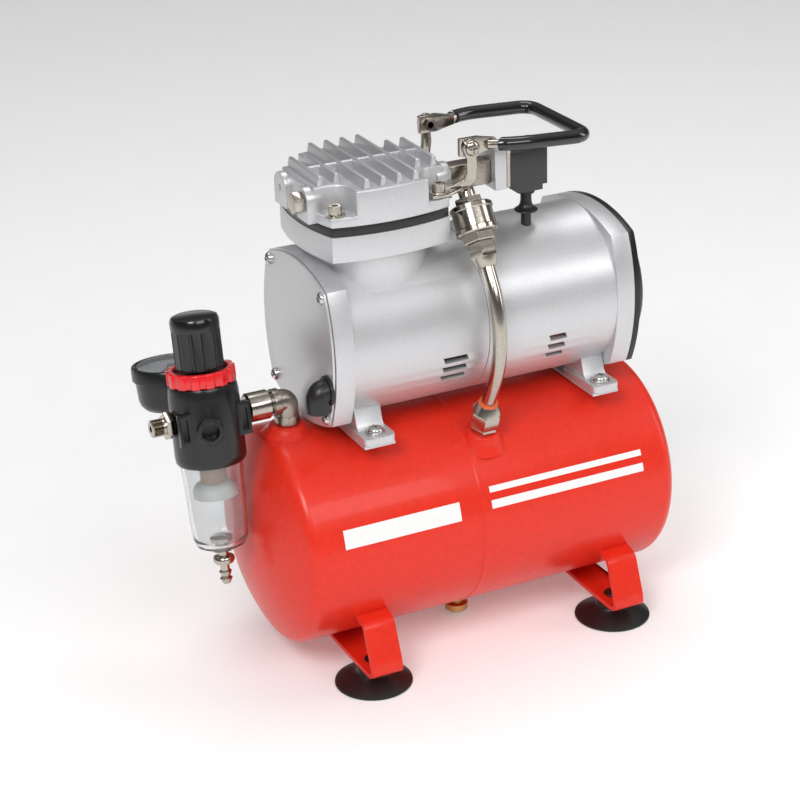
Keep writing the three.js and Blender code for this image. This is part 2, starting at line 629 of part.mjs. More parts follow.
function buildManifold() {
  const { x0, x1, half, y, low: under, high: over } = MANIFOLD;
  const bar = cut(
    block(x0, x1, y - half, y + half, under, over),
    postX(3, x0 - BURY, x1 + BURY, 16).translate(0, y, PORT_Z),
    postZ(2.5, under - 3, PORT_Z, 12).translate(TUBE_X, y, 0),
  );
  piece("manifold_bar", NICKEL, bar);

  const { x0: b0, x1: b1, y0, y1, z0, z1 } = END_BLOCK;
  const valveY = y1 + 4.5;
  const endBlock = cut(
    join(block(b0, b1, y0, y1, z0, z1), block(b0, b1, y1 - 2, y1 + 9, z0 + 2, z0 + 13)),
    postX(3, b0 - BURY, b1 - 2, 16).translate(0, MANIFOLD.y, PORT_Z),
  );
  piece("switch_block", CAST_SILVER, endBlock);
  piece("switch_plate", NICKEL, block(b1 + GAP, b1 + 2.3, y0 + 0.5, y1 - 0.5, z0 + 0.5, z1 - 0.5));

  const { x0: s0, x1: s1, z0: low, z1: high } = SWITCH;
  const outline = [
    [s0, high],
    [s0, low + 4.5],
    [s0 + 4.5, low],
    [s1 - 2.8, low],
    [s1 - 2.8, low + 3],
    [s1, low + 3],
    [s1, high],
  ];
  const body = plate(outline, -SWITCH.y1, -SWITCH.y0).rotateX(Math.PI / 2);
  const box = cut(
    body,
    postZ(BUTTON.r + GAP, high - 6, high + BURY, 20).translate(BUTTON.x, BUTTON.y, 0),
    postZ(3.4, low - BURY, low + 8, 16).translate(SLEEVE.x, SLEEVE.y, 0),
  );
  piece("switch_box", GREY_PLASTIC, box);
  const button = postZ(BUTTON.r, high - 2.5, high + 3.5, 20, BUTTON.r - 0.3);
  piece("switch_button", RED_PLASTIC, button.translate(BUTTON.x, BUTTON.y, 0));

  const roof = MOTOR_Z + Math.sqrt(MOTOR_R * MOTOR_R - SLEEVE.y * SLEEVE.y);
  const sleeve = turned(
    [
      [0, roof - 4],
      [2.8, roof - 4],
      [2.8, roof + 7.6],
      [6.3, roof + 7.8],
      [6.6, roof + 8.6],
      [5.2, roof + 9.4],
      [3.6, roof + 10.8],
      [3.1, roof + 13],
      [3.1, roof + 18],
      [4.9, roof + 18.4],
      [4.9, low - GAP],
      [0, low - GAP],
    ],
    20,
  );
  const sleeveClear = postX(MOTOR_R + GAP, 20, 70, 40).translate(0, 0, MOTOR_Z);
  const placed = sleeve.translate(SLEEVE.x, SLEEVE.y, 0);
  piece("switch_cable_sleeve", RUBBER, cut(placed, sleeveClear));

  const safety = join(
    postX(4.4, b1 + GAP, b1 + 7, 6),
    postX(3.4, b1 + 6, b1 + 20, 16),
  );
  const stemBore = postX(1.6, b1 + 8, b1 + 22, 12);
  const place = (geometry) => geometry.translate(0, valveY, END_BLOCK.z0 + 7.5);
  piece("safety_valve_body", BRASS, place(cut(safety, stemBore)));
  const ring = new THREE.TorusGeometry(5.5, 0.7, 6, 14).rotateX(Math.PI / 2);
  const pull = join(postX(1.2, b1 + 12, b1 + 23, 12), ring.translate(b1 + 28, 0, 0));
  piece("safety_pull_ring", STEEL, place(pull));
}

// A solid laid out along +Z, pointing back up the check valve's axis, is moved into place.
const atValve = (geometry) =>
  geometry.rotateX(radians(-VALVE.tilt)).translate(TUBE_X, VALVE.y, VALVE.z);

function buildCheckValve() {
  const flip = (geometry) => atValve(geometry);
  const { half, y, low, x0, x1 } = MANIFOLD;
  const barrel = [
    [0, -8],
    [11.2, -8],
    [12, -6.5],
    [12, -5],
    [11.4, -4.5],
    [11.4, 4.5],
    [12, 5],
    [12, 6.5],
    [11.2, 8],
    [0, 8],
  ];
  const stack = join(
    flip(turned(barrel, 32)),
    flip(hexZ(9.8, -13, -7)),
    flip(hexZ(8.1, 7, 12)),
    flip(postZ(4.6, 11, 26, 20)),
  );
  const clearManifold = block(x0 - 9, x1 + 9, y - half - GAP, y + half + 20, low - GAP, low + 40);
  const tubeSeat = flip(postZ(TUBE_R + GAP, -20, -9.5, 16));
  piece("check_valve", NICKEL, cut(stack, clearManifold, tubeSeat));

  const nut = cut(
    join(flip(hexZ(8.1, -22, -13.3)), flip(postZ(5.4, -27, -21, 20, 7.2))),
    flip(postZ(TUBE_R + GAP, -30, -12, 16)),
  );
  piece("tube_nut_upper", NICKEL, nut);

  const along = (s) => new THREE.Vector3(
    TUBE_X,
    VALVE.y + s * Math.sin(radians(VALVE.tilt)),
    VALVE.z + s * Math.cos(radians(VALVE.tilt)),
  );
  const up = (s) => new THREE.Vector3(
    TUBE_X,
    TANK_PORT.y - s * Math.sin(radians(TANK_PORT.tilt)),
    TANK_PORT.z + s * Math.cos(radians(TANK_PORT.tilt)),
  );
  const round = (angle) => new THREE.Vector3(
    TUBE_X,
    -58.6 * Math.cos(radians(angle)),
    MOTOR_Z + 58.6 * Math.sin(radians(angle)),
  );
  const route = new THREE.CatmullRomCurve3([
    along(-10),
    along(-20),
    along(-27),
    round(26),
    round(13),
    round(0),
    round(-12),
    round(-25),
    up(24),
    up(16),
    up(9),
  ]);
  piece("discharge_tube", NICKEL, swept(route, TUBE_R, 18, 10, 2.9));

  const lower = cut(
    join(
      atTankPort(hexZ(7.8, 4.3, 8)),
      atTankPort(hexZ(8.6, 7.5, 18)),
      atTankPort(postZ(8, 17.5, 23, 20, 5.6)),
    ),
    atTankPort(postZ(TUBE_R + GAP, 8.5, 25, 16)),
    atTankPort(postZ(2.5, 3, 10, 12)),
  );
  piece("tube_nut_lower", NICKEL, lower);
}

// ---------------------------------------------------------------- carrying handle
function buildHandle() {
  const { x, z } = PIVOT;
  const eye = (side) => {
    const outline = [[16, -2.6], [16, 2.6], [5, 5], [-6, 5], [-6, -5], [5, -5]];
    const flat = plate(outline, -1.3, 1.3, [{ u: 0, v: 0, r: 2.4 }]);
    return flat.rotateX(Math.PI / 2).translate(x, side * PIVOT.y, z);
  };
  const arm = (side) => [
    new THREE.Vector3(x + 10.5, side * (PIVOT.y + 1.6), z - 0.3),
    new THREE.Vector3(x + 26, side * (HANDLE_Y - 0.4), z - 0.6),
    new THREE.Vector3(HANDLE_REACH, side * HANDLE_Y, z - 3),
  ];
  const bar = roundedPath([...arm(-1), ...arm(1).reverse()], 7);
  piece("handle_rod", NICKEL, join(eye(-1), eye(1), swept(bar, ROD_R, 32, 8)));

  const sleeved = (side) => {
    const points = arm(side);
    points[0].lerp(points[1], 0.55);
    return points;
  };
  const sleevePath = roundedPath([...sleeved(-1), ...sleeved(1).reverse()], 7);
  const sleeve = swept(sleevePath, GRIP_R, 28, 8);
  const bore = swept(bar, ROD_R + 0.5, 32, 8);
  piece("handle_grip", VINYL, cut(sleeve, bore));

  for (const side of [-1, 1]) {
    const where = side < 0 ? "front" : "rear";
    const inner = PIVOT.y + 2;
    const start = CYL_X + BOLT_OFFSET + 4.8;
    const outline = new THREE.Shape();
    outline.moveTo(start, LEDGE_Z + GAP);
    outline.lineTo(-7, LEDGE_Z + GAP);
    outline.quadraticCurveTo(6, LEDGE_Z + 1, 6.5, LEDGE_Z + 11);
    outline.lineTo(x + 2.8, z - 6);
    outline.lineTo(x + 5, z - 1);
    outline.absarc(x, z, 5.1, radians(-10), radians(190), false);
    outline.lineTo(x - 2.8, z - 6);
    outline.quadraticCurveTo(0.5, LEDGE_Z + 6, -7, LEDGE_Z + 3.5);
    outline.lineTo(start, LEDGE_Z + 2.1);
    outline.holes.push(new THREE.Path().absarc(x, z, 2.4, 0, 2 * Math.PI, true));
    const settings = { depth: 1.8, bevelEnabled: false, curveSegments: 6 };
    const flange = new THREE.ExtrudeGeometry(outline, settings);
    flange.rotateX(Math.PI / 2).translate(0, inner + 1.8, 0);
    const [bx, by] = [CYL_X + BOLT_OFFSET, BOLT_OFFSET];
    const tab = cut(
      plate([[-24, 25], [-24, 35], [-14, 35], [-3, 29], [-3, inner]], LEDGE_Z + GAP, LEDGE_Z + 2.1),
      postZ(2.7, LEDGE_Z - 5, LEDGE_Z + 8, 12).translate(bx, by, 0),
    );
    piece(`handle_strap_${where}`, NICKEL, join(flange, tab).scale(1, side, 1));
    const screw = turned(
      [[0, 0], [3, 0], [3, 2], [2.1, 2], [2.1, 7.7], [4.2, 7.7], [4, 9], [2.4, 10.1], [0, 10.4]],
      16,
    );
    screw.rotateX(-Math.PI / 2).translate(x, inner - 5.6, z);
    piece(`handle_pivot_${where}`, NICKEL, screw.scale(1, side, 1));
  }
}

// ---------------------------------------------------------------- outlet line
function buildOutletLine() {
  const legBottom = AIR_Z - 13.7;
  const elbow = join(
    postZ(6.6, legBottom, AIR_Z, 24).translate(OUTLET_X, 0, 0),
    postX(6.6, OUTLET_X - 8, OUTLET_X, 24).translate(0, 0, AIR_Z),
    new THREE.SphereGeometry(6.6, 12, 8).translate(OUTLET_X, 0, AIR_Z),
  );
  const bores = [
    postZ(3.5, legBottom - BURY, AIR_Z, 16).translate(OUTLET_X, 0, 0),
    postX(3.5, OUTLET_X - 9, OUTLET_X, 16).translate(0, 0, AIR_Z),
  ];
  piece("outlet_elbow", NICKEL, cut(elbow, ...bores));

  const collar = join(
    postX(8.2, -123.5, -109.5, 24),
    postX(6, -110, OUTLET_X - 8.3, 24),
    postX(4.9, REG_X + 12, -123, 20),
  );
  piece("inlet_nipple", NICKEL, cut(collar, postX(3.2, REG_X, OUTLET_X, 16)).translate(0, 0, AIR_Z));
}

// ---------------------------------------------------------------- filter regulator
function notchedRing(outer, notch, count) {
  const points = [];
  for (let i = 0; i < count; i++) {
    for (const [share, r] of [[0.06, outer], [0.56, outer], [0.64, notch], [0.98, notch]]) {
      const a = ((i + share) * 2 * Math.PI) / count;
      points.push([r * Math.cos(a), r * Math.sin(a)]);
    }
  }
  return points;
}

function buildRegulator() {
  const unit = new THREE.Group();
  unit.position.set(REG_X, 0, AIR_Z);
  unit.rotation.x = radians(-REG_TILT);
  group.add(unit);

  const lug = (side) => {
    const frame = block(10, 20.5, -14.2, -11.2, -10, 8);
    const slot = block(15.8, 18.4, -16, -9, -7, 5);
    return cut(frame, slot).scale(side, 1, 1);
  };
  const frontPort = (r, y0, y1) => postY(r, y0, y1, 24).rotateZ(radians(-15)).translate(0, 0, PLUMBING_LEVEL);
  const drum = turned(
    [
      [0, -24.4],
      [REG_R - 0.6, -24.4],
      [REG_R, -21],
      [REG_R - 0.4, 15],
      [REG_R - 1.2, 19.8],
      [14.6, 19.8],
      [14.6, 25],
      [10.8, 26],
      [10.8, 40],
      [0, 40],
    ],
    32,
  );
  const body = cut(
    join(drum, lug(-1), lug(1), frontPort(7.5, -20.8, -10)),
    frontPort(4.9, -22, -12),
    postX(5.2, 11.7, 22, 20),
    postX(5.2, -22, -11.7, 20),
    postX(3, -12, 12, 12),
    postY(4.7, 10, 24, 20).translate(0, 0, PLUMBING_LEVEL),
    turned([[0, -26], [15, -26], [15, -9], [0, -9]], 32),
    turned([[0, -10], [2.5, -10], [2.5, 0], [0, 0]], 12),
    postZ(4, 10, 42, 20),
  );
  piece("regulator_body", BLACK_PLASTIC, body, unit);

  const spindle = turned([[0, 12], [3.6, 12], [3.6, 40.6], [4.8, 40.6], [4.8, 47], [0, 47]], 20);
  piece("regulator_spindle", BRASS, spindle, unit);

  const ring = cut(plate(notchedRing(18.8, 17.6, 12), 20.1, 28), postZ(15, 15, 31, 32));
  piece("lock_ring", RED_PLASTIC, ring, unit);

  const knobLow = plate(notchedRing(13.3, 12.6, 10), 28.5, 51);
  const knobTop = turned([[0, 50], [13.3, 50], [13.3, 54], [11.4, 57.4], [0, 57.4]], 32);
  const knob = cut(join(knobLow, knobTop), postZ(11.2, 27, 43, 32), postZ(5.1, 42, 51, 20));
  piece("regulator_knob", BLACK_PLASTIC, knob, unit);

  const bowlOuter = [[0, -75], [7, -75], [13.6, -72], [15.4, -67], [17, -24.7], [0, -24.7]];
  const bowlInner = [[0, -72.8], [6, -72.8], [11.8, -70], [13.4, -65], [15, -24], [0, -24]];
  const bowl = cut(turned(bowlOuter, 32), turned(bowlInner, 32), postZ(3.3, -78, -68, 16));
  piece("filter_bowl", CLEAR, bowl, unit);

  const element = turned(
    [[0, -44], [11.5, -44], [12.4, -41], [7.6, -35], [7.6, -20], [9, -18], [9, -12], [0, -12]],
    24,
  );
  piece("filter_element", SINTERED, element, unit);

  const drain = turned(
    [
      [0, -95.6],
      [2.2, -95.6],
      [3.6, -92.5],
      [2.4, -91.5],
      [3.6, -88.5],
      [2.6, -87.5],
      [2.6, -84],
      [5.6, -83.5],
      [6, -80.2],
      [2.9, -79.6],
      [2.9, -72],
      [6.2, -71.6],
      [6.2, -68],
      [0, -68],
    ],
    20,
  );
  piece("bowl_drain_valve", NICKEL, drain, unit);

  const outlet = cut(
    join(postX(7.6, -24.4, -19.9, 6), postX(4.9, -31.8, -24, 20), postX(4.9, -20.2, -12.2, 20)),
    postX(1.8, -33, -11, 12),
  );
  piece("outlet_fitting", NICKEL, outlet, unit);

  buildGauge(unit);
}

function buildGauge(unit) {
  const profile = [
    [0, -8.2],
    [13, -8.2],
    [18, -6.6],
    [19.8, -3],
    [20.4, 8.5],
    [GAUGE_R, 9.2],
    [GAUGE_R, 16],
    [GAUGE_R - 1, 17],
    [0, 17],
  ];
  const solid = join(
    turned(profile, 32).translate(0, GAUGE_Y, GAUGE_LIFT),
    postY(4.4, 11, GAUGE_Y - 15, 20).translate(0, 0, PLUMBING_LEVEL),
    postY(7, 21, 28, 6).translate(0, 0, PLUMBING_LEVEL),
  );
  const recess = postZ(GAUGE_R - 2.6, 12.5, 19, 32).translate(0, GAUGE_Y, GAUGE_LIFT);
  const bore = postY(1.5, 9, GAUGE_Y - 10, 12).translate(0, 0, PLUMBING_LEVEL);
  const pivotHole = postZ(1.4, 8, 14, 12).translate(0, GAUGE_Y, GAUGE_LIFT);
  piece("gauge_case", BLACK_PLASTIC, cut(solid, recess, bore, pivotHole), unit);

  const lens = cut(postZ(GAUGE_R - 2.9, 15.6, 16.8, 32), postZ(0.9, 15, 15.9, 8));
  piece("gauge_lens", CLEAR, lens.translate(0, GAUGE_Y, GAUGE_LIFT), unit);

  const needle = join(
    plate([[1.1, -5], [0.3, 14.5], [-0.3, 14.5], [-1.1, -5]], 13.5, 14.1),
    postZ(2, 13.3, 14.7, 16),
    postZ(1.1, 9, 14, 12),
  );
  needle.rotateZ(radians(135));
  piece("gauge_needle", BLACK_PLASTIC, needle.translate(0, GAUGE_Y, GAUGE_LIFT), unit);
}

// ---------------------------------------------------------------- assembly
buildTank();
buildLegs();
buildFeet();
buildMotorMounts();
buildCrankcase();
buildMotorCasing();
buildDrive();
buildHead();
buildManifold();
buildCheckValve();
buildHandle();
buildCordGland();
buildOutletLine();
buildRegulator();

const model = new THREE.Group();
model.add(group);
model.updateMatrixWorld(true);
const box = new THREE.Box3().setFromObject(group, true);
const middle = box.getCenter(new THREE.Vector3());
group.position.set(-middle.x, -middle.y, -box.min.z);

export default model;
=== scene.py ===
"""Looks for the small piston compressor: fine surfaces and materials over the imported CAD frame.

Shapes are laid out in millimetres with x = 0 at the middle of the tank, as the part's source does,
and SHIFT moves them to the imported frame, in metres.
"""
import math

import bmesh
import bpy
from mathutils import Matrix, Vector


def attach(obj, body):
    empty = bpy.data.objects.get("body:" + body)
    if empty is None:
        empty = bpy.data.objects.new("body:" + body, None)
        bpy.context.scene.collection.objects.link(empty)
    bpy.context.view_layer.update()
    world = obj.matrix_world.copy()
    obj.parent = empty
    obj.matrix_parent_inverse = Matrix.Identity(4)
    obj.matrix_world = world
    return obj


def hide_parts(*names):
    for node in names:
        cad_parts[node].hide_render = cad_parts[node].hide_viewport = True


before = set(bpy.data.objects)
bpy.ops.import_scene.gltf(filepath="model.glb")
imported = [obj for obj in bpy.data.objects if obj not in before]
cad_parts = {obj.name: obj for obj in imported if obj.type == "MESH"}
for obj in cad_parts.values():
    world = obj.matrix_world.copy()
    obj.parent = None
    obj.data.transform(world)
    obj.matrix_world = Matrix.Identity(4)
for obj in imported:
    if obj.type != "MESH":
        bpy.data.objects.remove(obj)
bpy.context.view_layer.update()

BASE = "compressor"
SHIFT = 24.0
TO_FRAME = Matrix.Diagonal((0.001, 0.001, 0.001, 1)) @ Matrix.Translation((SHIFT, 0, 0))
ALONG_X = Matrix.Rotation(math.pi / 2, 4, "Y")
ALONG_Y = Matrix.Rotation(-math.pi / 2, 4, "X")
ALONG_X_BACK = Matrix.Rotation(-math.pi / 2, 4, "Y")
XZ = Matrix.Rotation(math.pi / 2, 4, "X")  # an outline drawn in x and y stands in x and z
YZ = Matrix.Rotation(math.pi / 2, 4, "Z") @ XZ  # and here in y and z
STILL = Matrix.Identity(4)

TANK_R = 62.5
TANK_HALF = 130.0  # half of the tank's length
TANK_Z = 77.5  # height of the tank's axis
MOTOR_R = 46.6
MOTOR_Z = 192.5  # height of the motor's axis
COVER_X = -90.6  # outside of the crankcase cover
SPLIT_X = 3.0  # where the two casings meet
FAN_X = 94.5  # end of the motor casing
CORNER = 38.5  # half size of the casings' ends at their corners
MIDDLE = 46.9  # and at the middle of each bowed side
COVER_SCREW = 34.6  # cover screws, from the motor's axis in y and in z
FAN_SCREW_X = 98.3
CYL_X = -48.4  # the cylinder's axis
HEAD_Z = 264.0  # underside of the head
LEDGE_Z = 269.5  # ledges that carry the head bolts
DECK_Z = 283.0  # foot of the fins
FIN_TOP = 288.5
FIN_STEP = 9.45
FIN_SHORT = 19.5  # half lengths of the fins
FIN_LONG = 36.5
BOLT = 30.1  # head bolts, from the cylinder's axis in x and in y
POCKET_R = 9.1
PORT_Y = 14.5
PORT_Z = 274.4
FOOT_X = (-76.5, 79.0)
FOOT_Y = 52.5
SADDLES = ((-64.9, 9.3), (76.3, 8.3))  # x and half width
PAD_LOW = 142.3  # casing feet, bottom and top
PAD_TOP = 146.3
SCREW_Y = 40.5
VENT_ANGLES = (14.6, 22.4, 30.6)  # degrees round the motor's axis
VENT_HALF = 2.0
PIVOT = (3.3, 291.9)  # x and z of the handle's hinge
PIVOT_Y = 24.0  # half distance between the handle's hinges
ARM_Y = 32.0  # half distance between its arms
HANDLE_REACH = 72.3  # x of its cross bar
ROD_R = 2.7
GRIP_R = 3.8
AIR_Z = 157.5  # height of the outlet line
OUTLET_X = -99.2  # outlet port on top of the tank
TUBE_X = 2.6  # plane of the discharge tube
TUBE_R = 4
TUBE_BEND_R = 58.6  # radius that the tube follows round the motor
GAUGE_Y = 50.2  # middle of the gauge, from the regulator's axis
GAUGE_RISE = 3.5
PORTS_RISE = -2.8  # side ports, from the regulator's middle
DRAIN_Y = -6
BORE_R = 42.7  # inside radius of the casings
BUTTON = (46.5, -12)
SLEEVE = (44.5, -12.4)
GLAND = (-39.5, 176.2)  # y and z of the cord gland
REGULATOR = Matrix.Translation((-146.2, 0, AIR_Z)) @ Matrix.Rotation(math.radians(-9), 4, "X")
VALVE = Matrix.Translation((TUBE_X, -30.4, 252.7)) @ Matrix.Rotation(math.radians(-33.7), 4, "X")
TANK_PORT = Matrix.Translation((TUBE_X, -36.6, 128.2)) @ Matrix.Rotation(math.radians(19.6), 4, "X")

VIEW_ANGLES = (-25.521, 24.211, -1.696)  # azimuth, elevation and roll of the camera, in degrees
VIEW_TARGET = (-0.006072, 0, 0.141782)
VIEW_DISTANCE = 1.253438
LENS = 100.20
SENSOR_WIDTH = 36

LIGHT_AIM = (0, 0, 0.16)
LIGHTS = (  # name, place, size, power
    ("key", (-1.0, -1.0, 1.4), (0.6, 0.6), 16),
    ("front", (0.2, -1.6, 1.3), (1.2, 0.6), 10),
    ("fill", (1.4, -0.7, 0.8), (0.5, 1.0), 5),
    ("top", (0.2, 0.5, 1.6), (1.2, 0.5), 6),
)
SKY = ((0.0, 0.62), (0.12, 0.30), (0.34, 0.10), (0.55, 0.34), (0.8, 0.9))  # height, brightness
SKY_STRENGTH = 0.62
FLOOR_GLOW = 0.16

# Plain stripes where the photograph has a print: x from and to, then degrees above the tank's front.
STRIPES = ((-94, -23.5, 12.6, 22.4), (-4, 94, 23.2, 26.4), (-4, 94, 14.8, 19.2))
STRIPE_RISE = 0.06


def at(x=0.0, y=0.0, z=0.0):
    return Matrix.Translation((x, y, z))


def facing(side):
    """Mirrors y for side -1, and leaves it alone for side 1."""
    return Matrix.Diagonal((1, side, 1, 1))


# ------------------------------------------------------------------ materials
def grained(name, color, rough, metal=0.0, coat=0.0, grain=900.0, bump=0.1, tint=0.12, spread=0.08):
    """Principled surface whose colour, roughness and height vary with a fine noise and a broad one."""
    mat = bpy.data.materials.new(name)
    mat.use_nodes = True
    nodes, links = mat.node_tree.nodes, mat.node_tree.links
    shader = nodes["Principled BSDF"]
    shader.inputs["Metallic"].default_value = metal
    shader.inputs["Coat Weight"].default_value = coat
    shader.inputs["Coat Roughness"].default_value = 0.06
    place = nodes.new("ShaderNodeTexCoord")
    fine = nodes.new("ShaderNodeTexNoise")
    fine.inputs["Scale"].default_value = grain
    fine.inputs["Detail"].default_value = 4
    broad = nodes.new("ShaderNodeTexNoise")
    broad.inputs["Scale"].default_value = 24
    broad.inputs["Detail"].default_value = 3
    for noise in (fine, broad):
        links.new(place.outputs["Object"], noise.inputs["Vector"])
    ramp = nodes.new("ShaderNodeValToRGB")
    ramp.color_ramp.elements[0].position = 0.3
    ramp.color_ramp.elements[1].position = 0.7
    ramp.color_ramp.elements[0].color = (*[c * (1 - tint) for c in color], 1)
    ramp.color_ramp.elements[1].color = (*[min(1, c * (1 + tint)) for c in color], 1)
    links.new(fine.outputs["Fac"], ramp.inputs["Fac"])
    links.new(ramp.outputs["Color"], shader.inputs["Base Color"])
    span = nodes.new("ShaderNodeMapRange")
    span.inputs["To Min"].default_value = max(0.02, rough - spread)
    span.inputs["To Max"].default_value = rough + spread
    links.new(broad.outputs["Fac"], span.inputs["Value"])
    links.new(span.outputs["Result"], shader.inputs["Roughness"])
    relief = nodes.new("ShaderNodeBump")
    relief.inputs["Strength"].default_value = bump
    relief.inputs["Distance"].default_value = 0.0003
    links.new(fine.outputs["Fac"], relief.inputs["Height"])
    links.new(relief.outputs["Normal"], shader.inputs["Normal"])
    return mat


def clear(name, color, rough):
    mat = grained(name, color, rough, grain=60, bump=0.02, tint=0.02, spread=0.02)
    mat.node_tree.nodes["Principled BSDF"].inputs["Transmission Weight"].default_value = 0.95
    mat.node_tree.nodes["Principled BSDF"].inputs["IOR"].default_value = 1.45
    return mat


RED = grained("red_enamel", (0.74, 0.028, 0.012), 0.33, 0, 0.12, grain=260, bump=0.05, tint=0.05)
RED.node_tree.nodes["Principled BSDF"].inputs["Specular IOR Level"].default_value = 0.3
SILVER = grained("cast_silver", (0.62, 0.62, 0.635), 0.4, 0.65, grain=1500, bump=0.16, tint=0.06)
SILVER_FINE = grained("head_silver", (0.60, 0.60, 0.615), 0.38, 0.7, grain=1200, bump=0.2, tint=0.06)
SHEET = grained("cover_sheet", (0.62, 0.62, 0.635), 0.36, 0.6, grain=1600, bump=0.04, tint=0.03)
NICKEL = grained("nickel", (0.47, 0.43, 0.375), 0.17, 1, grain=700, bump=0.06, tint=0.08)
NICKEL_CAST = grained("cast_nickel", (0.36, 0.325, 0.28), 0.28, 1, grain=1000, bump=0.4)
STEEL = grained("screw_steel", (0.62, 0.61, 0.6), 0.24, 1, grain=1500, bump=0.08)
BRASS = grained("turned_brass", (0.60, 0.42, 0.17), 0.28, 1, grain=1300, bump=0.2)
BLACK = grained("moulded_black", (0.009, 0.009, 0.010), 0.26, grain=1500, bump=0.12)
GLOSS = grained("gloss_black", (0.006, 0.006, 0.007), 0.2, coat=0.2, grain=400, bump=0.03)
CHARCOAL = grained("charcoal_plastic", (0.035, 0.035, 0.037), 0.5, grain=1500, bump=0.25)
LOCK_RED = grained("lock_ring_red", (0.74, 0.008, 0.012), 0.22, coat=0.5, grain=500, bump=0.04)
RUBBER = grained("black_rubber", (0.010, 0.010, 0.010), 0.36, grain=900, bump=0.12)
VINYL = grained("black_vinyl", (0.006, 0.006, 0.007), 0.14, coat=0.6, grain=300, bump=0.04)
BRONZE = grained("porous_bronze", (0.52, 0.37, 0.25), 0.65, 0.2, grain=1800, bump=0.8, tint=0.3)
COPPER = grained("windings", (0.40, 0.14, 0.06), 0.45, 0.8, grain=900, bump=0.5, tint=0.3)
WHITE = grained("printed_white", (0.85, 0.85, 0.84), 0.4, grain=700, bump=0.02, tint=0.03)
DIAL = grained("dial_face", (0.62, 0.63, 0.65), 0.45, grain=700, bump=0.02, tint=0.04)
SEALANT = grained("thread_sealant", (0.7, 0.13, 0.04), 0.4, grain=600, bump=0.3)
CLEAR = clear("clear_bowl", (0.86, 0.88, 0.89), 0.05)


# ------------------------------------------------------------------ mesh tools
def lathe(profile, m=STILL, seg=64):
    """Turns a profile of (radius, height) about z."""
    bm = bmesh.new()
    rings = []
    for r, z in profile:
        if r < 1e-6:
            rings.append([bm.verts.new((0, 0, z))])
        else:
            turn = [2 * math.pi * i / seg for i in range(seg)]
            rings.append([bm.verts.new((r * math.cos(a), r * math.sin(a), z)) for a in turn])
    for low, high in zip(rings, rings[1:]):
        for i in range(seg):
            j = (i + 1) % seg
            corners = [low[i % len(low)], low[j % len(low)], high[j % len(high)], high[i % len(high)]]
            unique = list(dict.fromkeys(corners))
            if len(unique) > 2:
                bm.faces.new(unique)
    bm.transform(m)
    return bm


def rod(r, z0, z1, m=STILL, seg=48, edge=0.3, top=None):
    """Round bar with eased edges; top is its radius at z1."""
    r1 = r if top is None else top
    e = min(edge, r * 0.4, r1 * 0.4, abs(z1 - z0) * 0.4)
    points = [(0, z0), (r - e, z0), (r, z0 + e), (r1, z1 - e), (r1 - e, z1), (0, z1)]
    return lathe(points, m, seg)


def hexagon(r, z0, z1, m=STILL):
    return lathe([(0, z0), (r * 0.94, z0), (r, z0 + 0.6), (r, z1 - 0.6), (r * 0.94, z1), (0, z1)], m, 6)


def prism(points, z0, z1, m=STILL):
    """Raises a flat outline from z0 to z1."""
    bm = bmesh.new()
    low = [bm.verts.new((u, v, z0)) for u, v in points]
    high = [bm.verts.new((u, v, z1)) for u, v in points]
    bm.faces.new(low[::-1])
    bm.faces.new(high)
    n = len(points)
    for i in range(n):
        bm.faces.new((low[i], low[(i + 1) % n], high[(i + 1) % n], high[i]))
    bm.transform(m)
    return bm


def block(x0, x1, y0, y1, z0, z1, m=STILL):
    return prism([(x0, y0), (x1, y0), (x1, y1), (x0, y1)], z0, z1, m)


def smooth_path(points, steps=8):
    """Curve through all the points."""
    pts = [Vector(p) for p in points]
    ends = [pts[0] * 2 - pts[1]] + pts + [pts[-1] * 2 - pts[-2]]
    out = []
    for a, b, c, d in zip(ends, ends[1:], ends[2:], ends[3:]):
        for i in range(steps):
            t = i / steps
            square = (2 * a - 5 * b + 4 * c - d) * t**2
            cube = (3 * b - a - 3 * c + d) * t**3
            out.append(0.5 * (2 * b + (c - a) * t + square + cube))
    return out + [pts[-1]]


def filleted(points, radius, steps=8):
    """Straight runs with rounded corners between them."""
    pts = [Vector(p) for p in points]
    out = [pts[0]]
    for before, corner, after in zip(pts, pts[1:], pts[2:]):
        a = corner + (before - corner).normalized() * radius
        c = corner + (after - corner).normalized() * radius
        for i in range(steps + 1):
            t = i / steps
            out.append(a * (1 - t) ** 2 + corner * 2 * t * (1 - t) + c * t**2)
    return out + [pts[-1]]


def sweep(points, r, m=STILL, seg=20):
    """Round tube along a path."""
    pts = [Vector(p) for p in points]
    bm = bmesh.new()
    tangent = (pts[1] - pts[0]).normalized()
    side = tangent.orthogonal().normalized()
    rings = []
    for i, p in enumerate(pts):
        t = (pts[min(i + 1, len(pts) - 1)] - pts[max(i - 1, 0)]).normalized()
        side = (side - t * side.dot(t)).normalized()
        up = t.cross(side)
        turn = [2 * math.pi * k / seg for k in range(seg)]
        rings.append([bm.verts.new(p + (side * math.cos(a) + up * math.sin(a)) * r) for a in turn])
    for low, high in zip(rings, rings[1:]):
        for k in range(seg):
            bm.faces.new((low[k], low[(k + 1) % seg], high[(k + 1) % seg], high[k]))
    bm.faces.new(rings[0][::-1])
    bm.faces.new(rings[-1])
    bm.transform(m)
    return bm


def object_of(parts, name):
    """Joins meshes into one object in the frame."""
    mesh = bpy.data.meshes.new(name)
    joined = bmesh.new()
    for bm in parts:
        bmesh.ops.recalc_face_normals(bm, faces=bm.faces)
        piece = bpy.data.meshes.new("tmp")
        bm.to_mesh(piece)
        joined.from_mesh(piece)
        bpy.data.meshes.remove(piece)
    joined.transform(TO_FRAME)
    joined.to_mesh(mesh)
    obj = bpy.data.objects.new(name, mesh)
    bpy.context.collection.objects.link(obj)
    return obj


